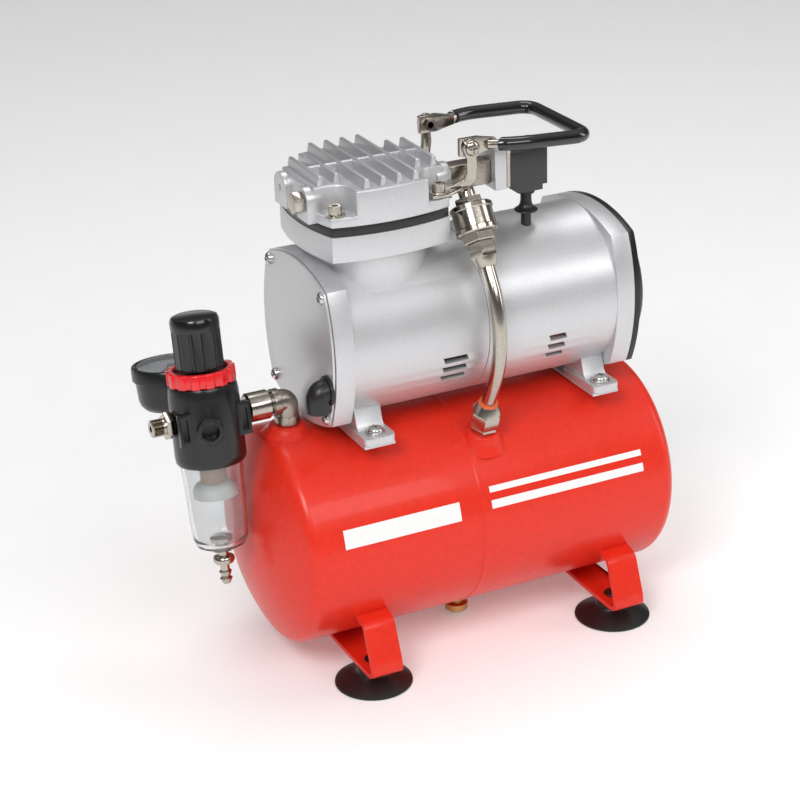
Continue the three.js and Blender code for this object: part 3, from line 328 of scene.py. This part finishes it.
def settle(obj):
    """Applies the modifiers of an object to its mesh."""
    graph = bpy.context.evaluated_depsgraph_get()
    mesh = bpy.data.meshes.new_from_object(obj.evaluated_get(graph))
    obj.modifiers.clear()
    obj.data = mesh


def part(name, parts, mat, cuts=(), bevel=0.4, body=BASE, stands_for=(), soft=35):
    """One visible piece: joined, cut, bevelled, coloured and put on its body."""
    obj = object_of(parts, name)
    if cuts:
        cutter = object_of(cuts, "cutter")
        tool = obj.modifiers.new("cut", "BOOLEAN")
        tool.operation = "DIFFERENCE"
        tool.solver = "EXACT"
        tool.use_self = True
        tool.object = cutter
        settle(obj)
        bpy.data.objects.remove(cutter)
    if bevel:
        edge = obj.modifiers.new("edge", "BEVEL")
        edge.width = bevel / 1000
        edge.segments = 3
        edge.limit_method = "ANGLE"
        edge.angle_limit = math.radians(soft)
        settle(obj)
    obj.data.materials.clear()
    obj.data.materials.append(mat)
    obj.data.shade_smooth()
    obj.data.set_sharp_from_angle(angle=math.radians(soft + 5))
    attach(obj, body)
    if stands_for:
        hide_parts(*stands_for)
    return obj


def bowed(corner, middle, steps=24):
    """Outline of a square with bowed sides."""
    bow = middle - corner
    radius = (corner * corner + bow * bow) / (2 * bow)
    spread = math.asin(corner / radius)
    points = []
    for side in range(4):
        for i in range(steps):
            a = spread * (2 * i / steps - 1)
            u = middle - radius + radius * math.cos(a)
            v = radius * math.sin(a)
            turn = side * math.pi / 2
            points.append(
                (u * math.cos(turn) - v * math.sin(turn), u * math.sin(turn) + v * math.cos(turn))
            )
    return points


def bowed_x(corner, middle, x0, x1):
    return prism(bowed(corner, middle), x0, x1, at(0, 0, MOTOR_Z) @ ALONG_X)


def ribbon(points, thickness):
    """Outline of a strip whose one face follows the points."""
    inner = []
    for i, (u, v) in enumerate(points):
        b, a = points[max(i - 1, 0)], points[min(i + 1, len(points) - 1)]
        along = Vector((a[0] - b[0], a[1] - b[1])).normalized()
        inner.append((u - along.y * thickness, v + along.x * thickness))
    return list(points) + inner[::-1]


def arc_round(points, radius, steps=6):
    return [(p.x, p.y) for p in filleted([(u, v, 0) for u, v in points], radius, steps)]


def pan_screw(name, m, r=3.4, body=BASE, mat=STEEL, stands_for=()):
    dome = lathe([(0, -0.5), (r, -0.5), (r, 0.6), (r * 0.85, 1.5), (r * 0.5, 2.1), (0, 2.3)], m, 32)
    cross = [
        block(-r * 0.6, r * 0.6, -0.4, 0.4, 1.0, 3, m), block(-0.4, 0.4, -r * 0.6, r * 0.6, 1.0, 3, m)
    ]
    return part(name, [dome], mat, cross, 0.0, body, stands_for)


# ------------------------------------------------------------------ tank, legs and feet
def dish(wall, crown=119.0, knuckle=8.0):
    """Profile of a dished end, as (radius, depth)."""
    tangent = math.asin((wall - knuckle) / (crown - knuckle))
    depth = crown - (crown - knuckle) * math.cos(tangent)
    pts = [
        (crown * math.sin(tangent * i / 12), crown * (1 - math.cos(tangent * i / 12)))
        for i in range(13)
    ]
    for i in range(1, 9):
        a = tangent + (math.pi / 2 - tangent) * i / 8
        pts.append((wall - knuckle + knuckle * math.sin(a), depth - knuckle * math.cos(a)))
    return pts


def build_tank():
    end = dish(TANK_R)
    outline = [(r, -TANK_HALF + d) for r, d in end] + [(r, TANK_HALF - d) for r, d in end[::-1]]
    axis = at(0, 0, TANK_Z) @ ALONG_X
    shell = lathe(outline, axis, 160)
    bead = lathe(
        [
            (TANK_R - 1, -11), (TANK_R + 0.15, -10.6), (TANK_R + 0.55, -9), (TANK_R + 0.15, -7.4),
            (TANK_R - 1, -7)
        ],
        axis, 160
    )
    outlet = lathe(
        [(0, 138), (15, 138.4), (12.2, 140.6), (10.8, 142), (10, 143.2), (9.4, 143.5), (0, 143.5)],
        at(OUTLET_X), 64
    )
    tube = lathe(
        [(0, -5), (15, -5), (11.6, -1), (9.8, 1.6), (9.2, 3.6), (8.6, 4.0), (0, 4.0)], TANK_PORT, 64
    )
    drain = lathe([(0, 18), (9, 18), (6.4, 14.8), (6, 12.2), (0, 12.2)], at(0, DRAIN_Y), 48)
    part(
        "tank_skin", [shell, bead, outlet, tube, drain], RED, bevel=0, stands_for=["tank_shell"],
    )
    r = TANK_R + STRIPE_RISE
    for i, (x0, x1, low, high) in enumerate(STRIPES):
        bm = bmesh.new()
        rows = []
        for k in range(9):
            a = math.radians(low + (high - low) * k / 8)
            y, z = -r * math.cos(a), TANK_Z + r * math.sin(a)
            rows.append([bm.verts.new((x, y, z)) for x in (x0, x1)])
        for p, q in zip(rows, rows[1:]):
            bm.faces.new((p[0], p[1], q[1], q[0]))
        part(f"tank_stripe_{i}", [bm], WHITE, bevel=0)
    knob = lathe(
        [(0, 3), (6, 3), (6.7, 3.6), (6.7, 7.2), (6, 7.7), (4, 7.8), (4, 12.1), (0, 12.1)],
        at(0, DRAIN_Y), 72
    )
    grooves = [
        block(
            6.45, 8, -0.12, 0.12, 2, 9, at(0, DRAIN_Y) @ Matrix.Rotation(math.radians(10 * i), 4, "Z")
        )
        for i in range(36)
    ]
    part(
        "drain_knob_skin", [knob], BRASS, grooves, 0.0, "drain_knob", ["tank_drain_knob"]
    )


def build_legs():
    right = [(0, 12.3), (30, 11.7), (66, 11.4), (71.9, 13.5), (71.6, 19.4), (62.2, 42.5), (49, 45.6)]
    outer = arc_round(right, 3.2)
    line = [(-y, z) for y, z in outer[:0:-1]] + outer
    for x, end in zip(FOOT_X, ("left", "right")):
        strip = prism(ribbon(line, 2.4), x - 9.3, x + 9.3, YZ)
        part(
            f"leg_skin_{end}", [strip], RED, bevel=0.5, stands_for=[f"leg_bracket_{end}"],
            soft=40
        )
        for y, side in ((-FOOT_Y, "front"), (FOOT_Y, "rear")):
            foot = [
                (0, 3), (10, 3), (20, 0.1), (21.4, 0), (22, 0.5), (21.8, 1.3), (18, 3.6), (13, 5.6),
                (10.2, 7), (9.4, 8)
            ]
            foot += [(9.2, 10.4), (8.6, 11.1), (0, 11.2)]
            part(
                f"foot_skin_{end}_{side}", [lathe(foot, at(x, y), 96)], RUBBER, bevel=0,
                stands_for=[f"suction_foot_{end}_{side}"]
            )
            stud = [rod(5, 14, 15, at(x, y), edge=0.4)]
            part(f"foot_stud_{end}_{side}", stud, RUBBER, bevel=0)
    for (x, half), end in zip(SADDLES, ("left", "right")):
        plate = block(x - half, x + half, -47, 47, 140.0, 142)
        part(
            f"saddle_skin_{end}", [plate], SILVER, bevel=0.6, stands_for=[f"motor_saddle_{end}"],
        )


# ------------------------------------------------------------------ casings
def cast_foot(x, half, side):
    """Foot of a casing: a flat pad and a web up to the barrel."""
    pad = arc_round([(-half, 14), (-half, 48.4), (half, 48.4), (half, 14)], 4)
    flat = prism(pad, PAD_LOW, PAD_TOP, facing(side))
    flat.transform(at(x))
    profile = [
        (12, PAD_LOW), (36, PAD_LOW), (36, PAD_TOP), (33.5, PAD_TOP + 3), (31, 157), (24, 162), (12, 152)
    ]
    web = prism(profile, -half + 1.5, half - 1.5, facing(side) @ YZ)
    web.transform(at(x))
    return [flat, web]


def vent_cuts(x0, x1):
    """Slanted slots through both sides of a casing."""
    h = VENT_HALF
    outline = [(x0, -h), (x1 - 1.6, -h), (x1, h), (x0 + 1.6, h)]
    cuts = []
    for side in (-1, 1):
        for angle in VENT_ANGLES:
            slot = prism(outline, -6, 4, ALONG_Y)
            slot.transform(at(0, MOTOR_R))
            slot.transform(Matrix.Rotation(math.radians(-angle), 4, "X"))
            slot.transform(at(0, 0, MOTOR_Z) @ facing(side))
            cuts.append(slot)
    return cuts


def build_casings():
    axis = at(0, 0, MOTOR_Z) @ ALONG_X
    start = COVER_X + 1.7
    neck = lathe(
        [(0, 200), (34, 200), (34, 240), (34.6, 242.4), (36, 244.4), (37, 245.5), (0, 245.5)],
        at(CYL_X), 96
    )
    flange = prism(bowed(34.4, 39.5), 245, 258.9, at(CYL_X))
    left = [
        rod(MOTOR_R, start, SPLIT_X, axis, 128), bowed_x(CORNER, MIDDLE, start, start + 11), neck,
        flange
    ]
    for side in (-1, 1):
        left += cast_foot(*SADDLES[0], side)
    hollow = [
        lathe([(0, start - 2), (BORE_R, start - 2), (BORE_R, SPLIT_X + 2), (0, SPLIT_X + 2)], axis, 96)
    ]
    part(
        "crankcase_skin", left, SILVER, hollow + vent_cuts(-25, -9), 0.9,
        stands_for=["crankcase_housing"]
    )
    right = [rod(MOTOR_R, SPLIT_X + 0.3, FAN_X, axis, 128), bowed_x(CORNER, MIDDLE, FAN_X - 11, FAN_X)]
    for side in (-1, 1):
        right += cast_foot(*SADDLES[1], side)
    hollow = [lathe([(0, 1), (BORE_R, 1), (BORE_R, FAN_X + 2), (0, FAN_X + 2)], axis, 96)]
    part(
        "motor_skin", right, SILVER, hollow + vent_cuts(40.5, 52.6), 0.9, stands_for=["motor_housing"],
    )
    cover = bowed_x(CORNER - 0.8, MIDDLE - 0.8, COVER_X, COVER_X + 1.4)
    part("cover_skin", [cover], SHEET, bevel=0.35, stands_for=["crankcase_cover"])
    rim = bowed_x(CORNER, MIDDLE, FAN_X + 0.3, FAN_X + 3.8)
    dome = lathe(
        [
            (0, 96), (43, 96), (43, 100), (42.4, 102), (41, 103.5), (35.5, 106.2), (18, 107.9),
            (0, 108.3)
        ],
        axis, 96
    )
    slots = [
        block(
            98.5, 114, -1.6, 1.6, 14, 34, at(0, 0, MOTOR_Z) @ Matrix.Rotation(i * math.pi / 8, 4, "X")
        )
        for i in range(16)
    ]
    hollow = lathe([(0, 94), (41, 94), (40, 101), (34.5, 104.2), (18, 105.9), (0, 106.3)], axis, 64)
    part(
        "fan_cover_skin", [rim, dome], BLACK, [hollow] + slots, 0.5, stands_for=["fan_cover"],
    )
    for i, (sy, sz) in enumerate(((-1, -1), (-1, 1), (1, -1), (1, 1))):
        y, z = sy * COVER_SCREW, MOTOR_Z + sz * COVER_SCREW
        pan_screw(f"cover_screw_{i}", at(COVER_X, y, z) @ ALONG_X_BACK)
        pan_screw(f"fan_cover_screw_{i}", at(FAN_SCREW_X, y, z) @ ALONG_X, 2.8)
    for x, _ in SADDLES:
        for side in (-1, 1):
            washer = rod(5.6, PAD_TOP, PAD_TOP + 1, at(x, side * SCREW_Y))
            part(f"foot_washer_{int(x)}_{side + 1}", [washer], STEEL, bevel=0)
            pan_screw(f"foot_screw_{int(x)}_{side + 1}", at(x, side * SCREW_Y, PAD_TOP + 1.4), 4.4)
    gland = filleted([(COVER_X - 0.2, *GLAND), (-96.8, *GLAND), (-96.8, GLAND[0], 165.5)], 4.2)
    collar = rod(8.4, -92.6, COVER_X - 0.1, at(0, *GLAND) @ ALONG_X)
    part(
        "gland_skin", [sweep(gland, 6.9, seg=32), collar], RUBBER, bevel=0.8, stands_for=["cord_gland"],
    )


# ------------------------------------------------------------------ cylinder head
def fin(x, half):
    profile = [(x - 2.2, DECK_Z - 1), (x + 2.2, DECK_Z - 1), (x + 1.1, FIN_TOP), (x - 1.1, FIN_TOP)]
    return prism(profile, -half, half, XZ)


def arch(x0, x1, y):
    r = 7.6
    points = [(y - r, HEAD_Z), (y + r, HEAD_Z)]
    for i in range(17):
        a = math.pi * i / 16
        points.append((y + r * math.cos(a), DECK_Z - 0.4 - r + r * math.sin(a)))
    return prism(points, x0, x1, YZ)


def build_head():
    plate = prism(bowed(34.0, 39.1), 259.2, 263.7, at(CYL_X))
    part(
        "valve_plate_skin", [plate], BLACK, bevel=0.3, stands_for=["valve_plate"]
    )
    base = prism(bowed(34.4, 39.5), HEAD_Z, DECK_Z, at(CYL_X))
    r = POCKET_R
    turns = [math.radians(t) for t in range(270, 179, -6)]
    arc = [(r * math.cos(a), r * math.sin(a)) for a in turns]
    outline = [(20, 20), (20, -r)] + arc + [(-r, 20)]
    pockets = []
    for sx in (-1, 1):
        for sy in (-1, 1):
            low, high = LEDGE_Z, FIN_TOP + 6
            corner = at(CYL_X + sx * BOLT, sy * BOLT) @ Matrix.Diagonal((sx, sy, 1, 1))
            pockets.append(prism(outline, low, high, corner))
    part(
        "head_base", [base], SILVER_FINE, pockets, 0.9, stands_for=["cylinder_head"],
    )
    lengths = [FIN_SHORT] * 2 + [FIN_LONG] * 4 + [FIN_SHORT] * 2
    fins = [fin(CYL_X + (i - 3.5) * FIN_STEP, half) for i, half in enumerate(lengths)]
    fins.append(block(CYL_X - 33, CYL_X + 33, -1.2, 1.2, DECK_Z - 1, FIN_TOP - 0.6))
    part("head_fins", fins, SILVER_FINE, bevel=0.7)
    bosses = [
        arch(-90.5, CYL_X - 34, PORT_Y), arch(-90.5, CYL_X - 34, -PORT_Y),
        arch(CYL_X + 34, -6.2, -PORT_Y)
    ]
    holes = [rod(1.6, -92, -84, at(0, PORT_Y, PORT_Z) @ ALONG_X, 24)]
    part("head_bosses", bosses, SILVER_FINE, holes, 0.8)
    plug = [hexagon(6.2, -96.4, -90.8, at(0, -PORT_Y, PORT_Z) @ ALONG_X)]
    part("plug_skin", plug, NICKEL, bevel=0.3, stands_for=["head_plug"])
    for sx, end in ((-1, "left"), (1, "right")):
        for sy, side in ((-1, "front"), (1, "rear")):
            seat = LEDGE_Z + 0.3 + (2.1 if sx > 0 else 0)
            m = at(CYL_X + sx * BOLT, sy * BOLT)
            head = [rod(3.6, seat, seat + 5.2, m, 40), rod(5.4, seat - 0.2, seat + 0.5, m, 40)]
            socket = [lathe([(0, seat + 2.2), (1.9, seat + 2.2), (1.9, seat + 8), (0, seat + 8)], m, 6)]
            part(
                f"head_bolt_skin_{end}_{side}", head, NICKEL, socket, 0.15,
                stands_for=[f"head_bolt_{end}_{side}"]
            )


# ------------------------------------------------------------------ manifold, switch and tube
def build_air_line():
    bar = block(-5.9, 18.9, -19.5, -9.5, 267, 280.5)
    part("manifold_skin", [bar], NICKEL_CAST, bevel=0.7, stands_for=["manifold_bar"])
    end = [block(19.2, 26.6, -24, -1, 264, 287), block(19.2, 26.6, -3, 8, 266, 277)]
    part(
        "end_block_skin", end, SILVER_FINE, bevel=0.6, stands_for=["switch_block"],
    )
    outline = [
        (28.9, 283.5), (28.9, 264.5), (33.4, 260), (48.7, 260), (48.7, 263), (51.5, 263), (51.5, 283.5)
    ]
    case = prism(outline, 1, 24, XZ)
    part(
        "switch_case_skin", [case], CHARCOAL, [rod(4.3, 277, 286, at(*BUTTON))], 0.5,
        stands_for=["switch_box"]
    )
    part(
        "button_skin", [rod(4, 281, 287, at(*BUTTON), edge=0.8)], LOCK_RED, bevel=0, body="button",
        stands_for=["switch_button"]
    )
    roof = MOTOR_Z + math.sqrt(MOTOR_R**2 - SLEEVE[1] ** 2)
    sleeve = [
        (0, roof - 1), (2.8, roof - 1), (2.8, roof + 7.5), (6.3, roof + 7.8), (6.6, roof + 8.3),
        (6.2, roof + 8.9)
    ]
    sleeve += [(5, roof + 9.6), (4, roof + 10.6), (3.4, roof + 12), (3.1, roof + 14), (3.1, roof + 18)]
    sleeve += [(4.6, roof + 18.2), (4.9, roof + 18.6), (4.9, 259.7), (0, 259.7)]
    part(
        "sleeve_skin", [lathe(sleeve, at(*SLEEVE), 48)], RUBBER, bevel=0,
        stands_for=["switch_cable_sleeve"]
    )
    barrel = [
        (0, -8), (11, -8), (11.9, -7.2), (12, -5.2), (11.3, -4.6), (11.3, 4.6), (12, 5.2), (11.9, 7.2),
        (11, 8), (0, 8)
    ]
    stack = [lathe(barrel, VALVE, 72), hexagon(9.8, -13, -7.5, VALVE), hexagon(8.1, 7.5, 12, VALVE)]
    stack.append(
        sweep(
            filleted([VALVE @ Vector((0, 0, 11)), VALVE @ Vector((0, 0, 17)), (TUBE_X, -16, 267.4)], 2),
            4.6, seg=24
        )
    )
    part("check_valve_skin", stack, NICKEL, bevel=0, stands_for=["check_valve"])
    upper = [hexagon(8.1, -22, -13.3, VALVE), rod(5.4, -27, -21.6, VALVE, top=7.1)]
    part("upper_nut_skin", upper, NICKEL, bevel=0, stands_for=["tube_nut_upper"])
    ring = lathe([(0, 23), (5.5, 23), (5.4, 24), (4.2, 24.4), (0, 24.4)], TANK_PORT, 32)
    lower = [
        hexagon(7.8, 4.3, 8, TANK_PORT), hexagon(8.6, 8, 18, TANK_PORT),
        rod(8, 17.8, 23, TANK_PORT, top=5.6)
    ]
    part("lower_nut_skin", lower, NICKEL, bevel=0, stands_for=["tube_nut_lower"])
    part("nut_sealant", [ring], SEALANT, bevel=0)
    route = [VALVE @ Vector((0, 0, s)) for s in (-12, -20, -27)]
    for angle in (26, 13, 0, -12, -25):
        a = math.radians(angle)
        route.append(Vector((TUBE_X, -TUBE_BEND_R * math.cos(a), MOTOR_Z + TUBE_BEND_R * math.sin(a))))
    route += [TANK_PORT @ Vector((0, 0, s)) for s in (24, 16, 9)]
    part(
        "tube_skin", [sweep(smooth_path(route), TUBE_R, seg=28)], NICKEL, bevel=0,
        stands_for=["discharge_tube"]
    )


# ------------------------------------------------------------------ handle
def build_handle():
    x, z = PIVOT
    arm = [
        (x + 10.5, PIVOT_Y + 1.6, z - 0.3), (x + 26, ARM_Y - 0.4, z - 0.6), (HANDLE_REACH, ARM_Y, z - 3)
    ]
    bar = [(u, -w, v) for u, w, v in arm] + [(u, w, v) for u, w, v in arm[::-1]]
    eyes = []
    for side in (-1, 1):
        pts = [
            (16, -2.6), (16, 2.6), (9, 4), (5, 5), (-5.6, 5), (-6, 4.6), (-6, -4.6), (-5.6, -5),
            (5, -5), (9, -4)
        ]
        eyes.append(prism(pts, -1.3, 1.3, at(x, side * PIVOT_Y, z) @ XZ))
    rods = [sweep(filleted(bar, 9, 12), ROD_R, seg=24)]
    part(
        "handle_rod_skin", eyes + rods, NICKEL, bevel=0.4, body="handle", stands_for=["handle_rod"],
    )
    hem = [Vector(bar[0]).lerp(Vector(bar[1]), 0.55), Vector(bar[-1]).lerp(Vector(bar[-2]), 0.55)]
    grip = [hem[0]] + bar[1:-1] + [hem[1]]
    part(
        "grip_skin", [sweep(filleted(grip, 9, 12), GRIP_R, seg=32)], VINYL, bevel=0.5, body="handle",
        stands_for=["handle_grip"]
    )
    for side, end in ((-1, "front"), (1, "rear")):
        out = [
            (-13.5, LEDGE_Z + 0.3), (-7, LEDGE_Z + 0.3), (2, LEDGE_Z + 1), (5.5, LEDGE_Z + 4.5),
            (6.5, LEDGE_Z + 11)
        ]
        out += [(x + 2.8, z - 6), (x + 4.6, z - 2)]
        out += [
            (x + 5.1 * math.cos(math.radians(t)), z + 5.1 * math.sin(math.radians(t)))
            for t in range(-10, 191, 12)
        ]
        out += [
            (x - 2.8, z - 6), (0.4, LEDGE_Z + 9), (-2, LEDGE_Z + 5), (-7, LEDGE_Z + 3.5),
            (-13.5, LEDGE_Z + 2.1)
        ]
        flange = prism(out, -0.9, 0.9, at(0, side * (PIVOT_Y + 2.9)) @ XZ)
        shape = [(-24, 25), (-24, 35), (-14, 35), (-3, 29), (-3, 26)]
        tab = prism(shape, LEDGE_Z + 0.3, LEDGE_Z + 2.1, facing(side))
        part(
            f"strap_skin_{end}", [flange, tab], NICKEL, bevel=0.35, stands_for=[f"handle_strap_{end}"],
        )
        m = at(x, side * (PIVOT_Y + 4), z) @ (ALONG_Y if side > 0 else XZ)
        shank = rod(2.1, -7.6, 0.2, m)
        part(f"pivot_shank_{end}", [shank, hexagon(3.4, -7.6, -5.8, m)], NICKEL, bevel=0)
        pan_screw(f"pivot_skin_{end}", m, 4.2, mat=NICKEL, stands_for=[f"handle_pivot_{end}"])


# ------------------------------------------------------------------ regulator and gauge
def toothed(outer, notch, count, shares):
    """Ring outline with notches; shares are (share of a tooth, on the outer radius)."""
    points = []
    for i in range(count):
        for share, high in shares:
            a = (i + share) * 2 * math.pi / count
            r = outer if high else notch
            points.append((r * math.cos(a), r * math.sin(a)))
    return points


def build_regulator():
    m = REGULATOR
    elbow = filleted([(-107.4, 0, AIR_Z), (OUTLET_X, 0, AIR_Z), (OUTLET_X, 0, 143.8)], 3.6, 12)
    ends = [rod(7.0, 143.8, 149, at(OUTLET_X)), rod(7.6, -108.4, -104, at(0, 0, AIR_Z) @ ALONG_X)]
    part(
        "elbow_skin", [sweep(elbow, 6.5, seg=40)] + ends, NICKEL_CAST, bevel=0.5,
        stands_for=["outlet_elbow"]
    )
    axis = at(0, 0, AIR_Z) @ ALONG_X
    collar = [
        rod(8.2, -123.5, -109.5, axis, edge=1.2), rod(6, -110, -108.2, axis), rod(5, -128, -123, axis)
    ]
    part("nipple_skin", collar, NICKEL, bevel=0, stands_for=["inlet_nipple"])
    drum = [
        (0, -24.4), (18.2, -24.4), (19.2, -23), (19.5, -20), (19.3, 14), (18.8, 18), (18.3, 19.8),
        (14.6, 19.8), (14.6, 26), (0, 26)
    ]
    solids = [lathe(drum, m, 96)]
    cuts = []
    for side in (-1, 1):
        x0, x1 = sorted((side * 10, side * 20.5))
        s0, s1 = sorted((side * 15.4, side * 18.6))
        solids.append(block(x0, x1, -14.2, -11.2, -10, 8, m))
        cuts.append(block(s0, s1, -17, -12.2, -7, 5, m))
    port = m @ at(0, 0, PORTS_RISE) @ Matrix.Rotation(math.radians(-15), 4, "Z") @ ALONG_Y
    solids.append(rod(7.5, -20.8, -10, port, edge=0.6))
    cuts.append(rod(4.9, -24, -13, port, edge=0.1))
    part(
        "regulator_skin", solids, BLACK, cuts, 0.5, stands_for=["regulator_body"]
    )
    shares = ((0.06, 1), (0.56, 1), (0.64, 0), (0.98, 0))
    ring = prism(toothed(18.8, 17.6, 14, shares), 20.1, 28, m)
    part(
        "lock_ring_skin", [ring], LOCK_RED, [rod(15, 15, 32, m, edge=0.1)], 0.5,
        stands_for=["lock_ring"]
    )
    flutes = prism(toothed(13.3, 12.7, 12, ((0.05, 1), (0.7, 1), (0.78, 0), (0.97, 0))), 28.5, 50, m)
    cap = lathe(
        [(0, 49.6), (13.2, 49.6), (13.4, 50.4), (13.4, 54.6), (12.6, 56.4), (11, 57.1), (0, 57.4)], m,
        72
    )
    part(
        "knob_skin", [flutes, cap], GLOSS, [rod(11.2, 20, 43, m)], 0.0, "knob", ["regulator_knob"],
        soft=22
    )
    bowl = [
        (15.2, -24.7), (17, -24.7), (16.8, -30), (15.9, -58), (15.4, -67), (13.6, -72), (9, -74.6),
        (3.4, -75), (3.4, -72.9)
    ]
    bowl += [(8, -72.6), (11.8, -70), (13.4, -65), (13.9, -58), (14.9, -30), (15.2, -24.7)]
    part(
        "bowl_skin", [lathe(bowl, m, 96)], CLEAR, bevel=0, stands_for=["filter_bowl"],
    )
    element = [lathe([(0, -36), (7.4, -36), (7.4, -22), (0, -22)], m, 48)]
    part(
        "element_skin", element, BRONZE, bevel=0.6, stands_for=["filter_element"],
    )
    skirt = [
        (0, -36), (8, -36), (10.5, -37.2), (12.4, -40), (12.2, -44), (11.4, -44), (10.6, -41),
        (0, -38.4)
    ]
    part("baffle_skin", [lathe(skirt, m, 64)], WHITE, bevel=0)
    drain = [
        (0, -95.6), (2, -95.6), (3.6, -92.5), (2.4, -91.5), (3.6, -88.5), (2.6, -87.5), (2.6, -84),
        (5.2, -83.4), (6, -82)
    ]
    drain += [
        (6, -80.4), (5.4, -79.6), (2.9, -79.2), (2.9, -72), (6, -71.8), (6.3, -71), (6.3, -68.4),
        (5.8, -68), (0, -68)
    ]
    part(
        "bowl_drain_skin", [lathe(drain, m, 48)], NICKEL, bevel=0, body="bowl_drain",
        stands_for=["bowl_drain_valve"]
    )
    thread = [(0, -31.8), (4.2, -31.8)]
    for i in range(12):
        thread += [(4.9, -31.3 + i * 0.5), (4.4, -31.05 + i * 0.5)]
    thread += [(4.6, -24), (0, -24)]
    outlet = [lathe(thread, m @ ALONG_X, 40), hexagon(7.6, -24.4, -19.9, m @ ALONG_X)]
    part(
        "outlet_skin", outlet, NICKEL, [rod(1.8, -34, -24, m @ ALONG_X)], 0,
        stands_for=["outlet_fitting"]
    )
    build_gauge(m @ at(0, GAUGE_Y, GAUGE_RISE))


def build_gauge(m):
    case = [
        (0, -8.2), (13, -8.2), (16.8, -7.4), (18.9, -5), (19.8, -2), (20.4, 8.6), (21.4, 9), (22, 9.6),
        (22, 15.8), (21.5, 16.8)
    ]
    case += [(20.2, 17), (19.4, 16.4), (19.4, 12.5), (0, 12.5)]
    low = m @ at(0, 0, PORTS_RISE - GAUGE_RISE) @ ALONG_Y
    stem = [rod(4.4, -36, -15, low), hexagon(7, -29, -22, low)]
    part(
        "gauge_skin", [lathe(case, m, 96)] + stem, BLACK, bevel=0, stands_for=["gauge_case"],
    )
    part("dial_skin", [rod(19.2, 12.6, 13, m, 96, 0.05)], DIAL, bevel=0)
    marks = []
    for i in range(41):
        a = math.radians(225 - 270 * i / 40)
        long = i % 5 == 0
        tick = block(
            14.4 if long else 15.8, 17.4, -0.18 if long else -0.09, 0.18 if long else 0.09, 13, 13.06
        )
        tick.transform(m @ Matrix.Rotation(a, 4, "Z"))
        marks.append(tick)
    part("dial_marks", marks, GLOSS, bevel=0)


def dress_frame():
    """Materials for the CAD pieces that stay."""
    looks = {
        "switch_plate": NICKEL, "safety_valve_body": BRASS, "safety_pull_ring": STEEL, "gauge_lens": CLEAR,
        "gauge_needle": GLOSS, "cylinder_liner": STEEL, "rotor_shaft": STEEL, "stator_core": COPPER,
        "bearing_pump_side": STEEL, "bearing_fan_side": STEEL, "cooling_fan": CHARCOAL, "piston_rod": SILVER,
        "regulator_spindle": BRASS,
    }
    for name, mat in looks.items():
        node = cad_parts[name]
        node.data.materials.clear()
        node.data.materials.append(mat)


# ------------------------------------------------------------------ camera, light and floor
def build_camera():
    a, e, roll = (math.radians(v) for v in VIEW_ANGLES)
    back = Vector((math.sin(a) * math.cos(e), -math.cos(a) * math.cos(e), math.sin(e)))
    right = Vector((math.cos(a), math.sin(a), 0))
    up = back.cross(right)
    r2 = right * math.cos(roll) + up * math.sin(roll)
    u2 = up * math.cos(roll) - right * math.sin(roll)
    place = Vector(VIEW_TARGET) + back * VIEW_DISTANCE
    data = bpy.data.cameras.new("camera")
    data.lens = LENS
    data.sensor_width = SENSOR_WIDTH
    camera = bpy.data.objects.new("camera", data)
    bpy.context.collection.objects.link(camera)
    camera.matrix_world = Matrix.Translation(place) @ Matrix((r2, u2, back)).transposed().to_4x4()
    bpy.context.scene.camera = camera


def softbox(name, place, size, power):
    """Rectangular light aimed at the middle of the object."""
    data = bpy.data.lights.new(name, "AREA")
    data.energy = power
    data.shape = "RECTANGLE"
    data.size, data.size_y = size
    light = bpy.data.objects.new(name, data)
    bpy.context.collection.objects.link(light)
    light.location = place
    aim = Vector(LIGHT_AIM) - Vector(place)
    light.rotation_euler = aim.to_track_quat("-Z", "Y").to_euler()


def build_studio():
    world = bpy.data.worlds.new("studio")
    world.use_nodes = True
    nodes, links = world.node_tree.nodes, world.node_tree.links
    way = nodes.new("ShaderNodeTexCoord")
    split = nodes.new("ShaderNodeSeparateXYZ")
    ramp = nodes.new("ShaderNodeValToRGB")
    links.new(way.outputs["Generated"], split.inputs["Vector"])
    links.new(split.outputs["Z"], ramp.inputs["Fac"])
    links.new(ramp.outputs["Color"], nodes["Background"].inputs["Color"])
    for end, (position, level) in zip(ramp.color_ramp.elements, (SKY[0], SKY[-1])):
        end.position = position
        end.color = (level, level, level, 1)
    for position, level in SKY[1:-1]:
        ramp.color_ramp.elements.new(position).color = (level, level, level, 1)
    nodes["Background"].inputs["Strength"].default_value = SKY_STRENGTH
    bpy.context.scene.world = world
    bpy.context.scene.view_settings.view_transform = "Standard"
    for light in LIGHTS:
        softbox(*light)
    mesh = bpy.data.meshes.new("floor")
    mesh.from_pydata([(-4, -4, 0), (4, -4, 0), (4, 4, 0), (-4, 4, 0)], [], [(0, 1, 2, 3)])
    floor = bpy.data.objects.new("floor", mesh)
    bpy.context.collection.objects.link(floor)
    pale = grained("pale_floor", (0.9, 0.9, 0.9), 0.6, grain=30, bump=0.0, tint=0.01)
    pale.node_tree.nodes["Principled BSDF"].inputs["Emission Color"].default_value = (1, 1, 1, 1)
    pale.node_tree.nodes["Principled BSDF"].inputs["Emission Strength"].default_value = FLOOR_GLOW
    floor.data.materials.append(pale)


build_camera()
build_studio()
build_tank()
build_legs()
build_casings()
build_head()
build_air_line()
build_handle()
build_regulator()
dress_frame()
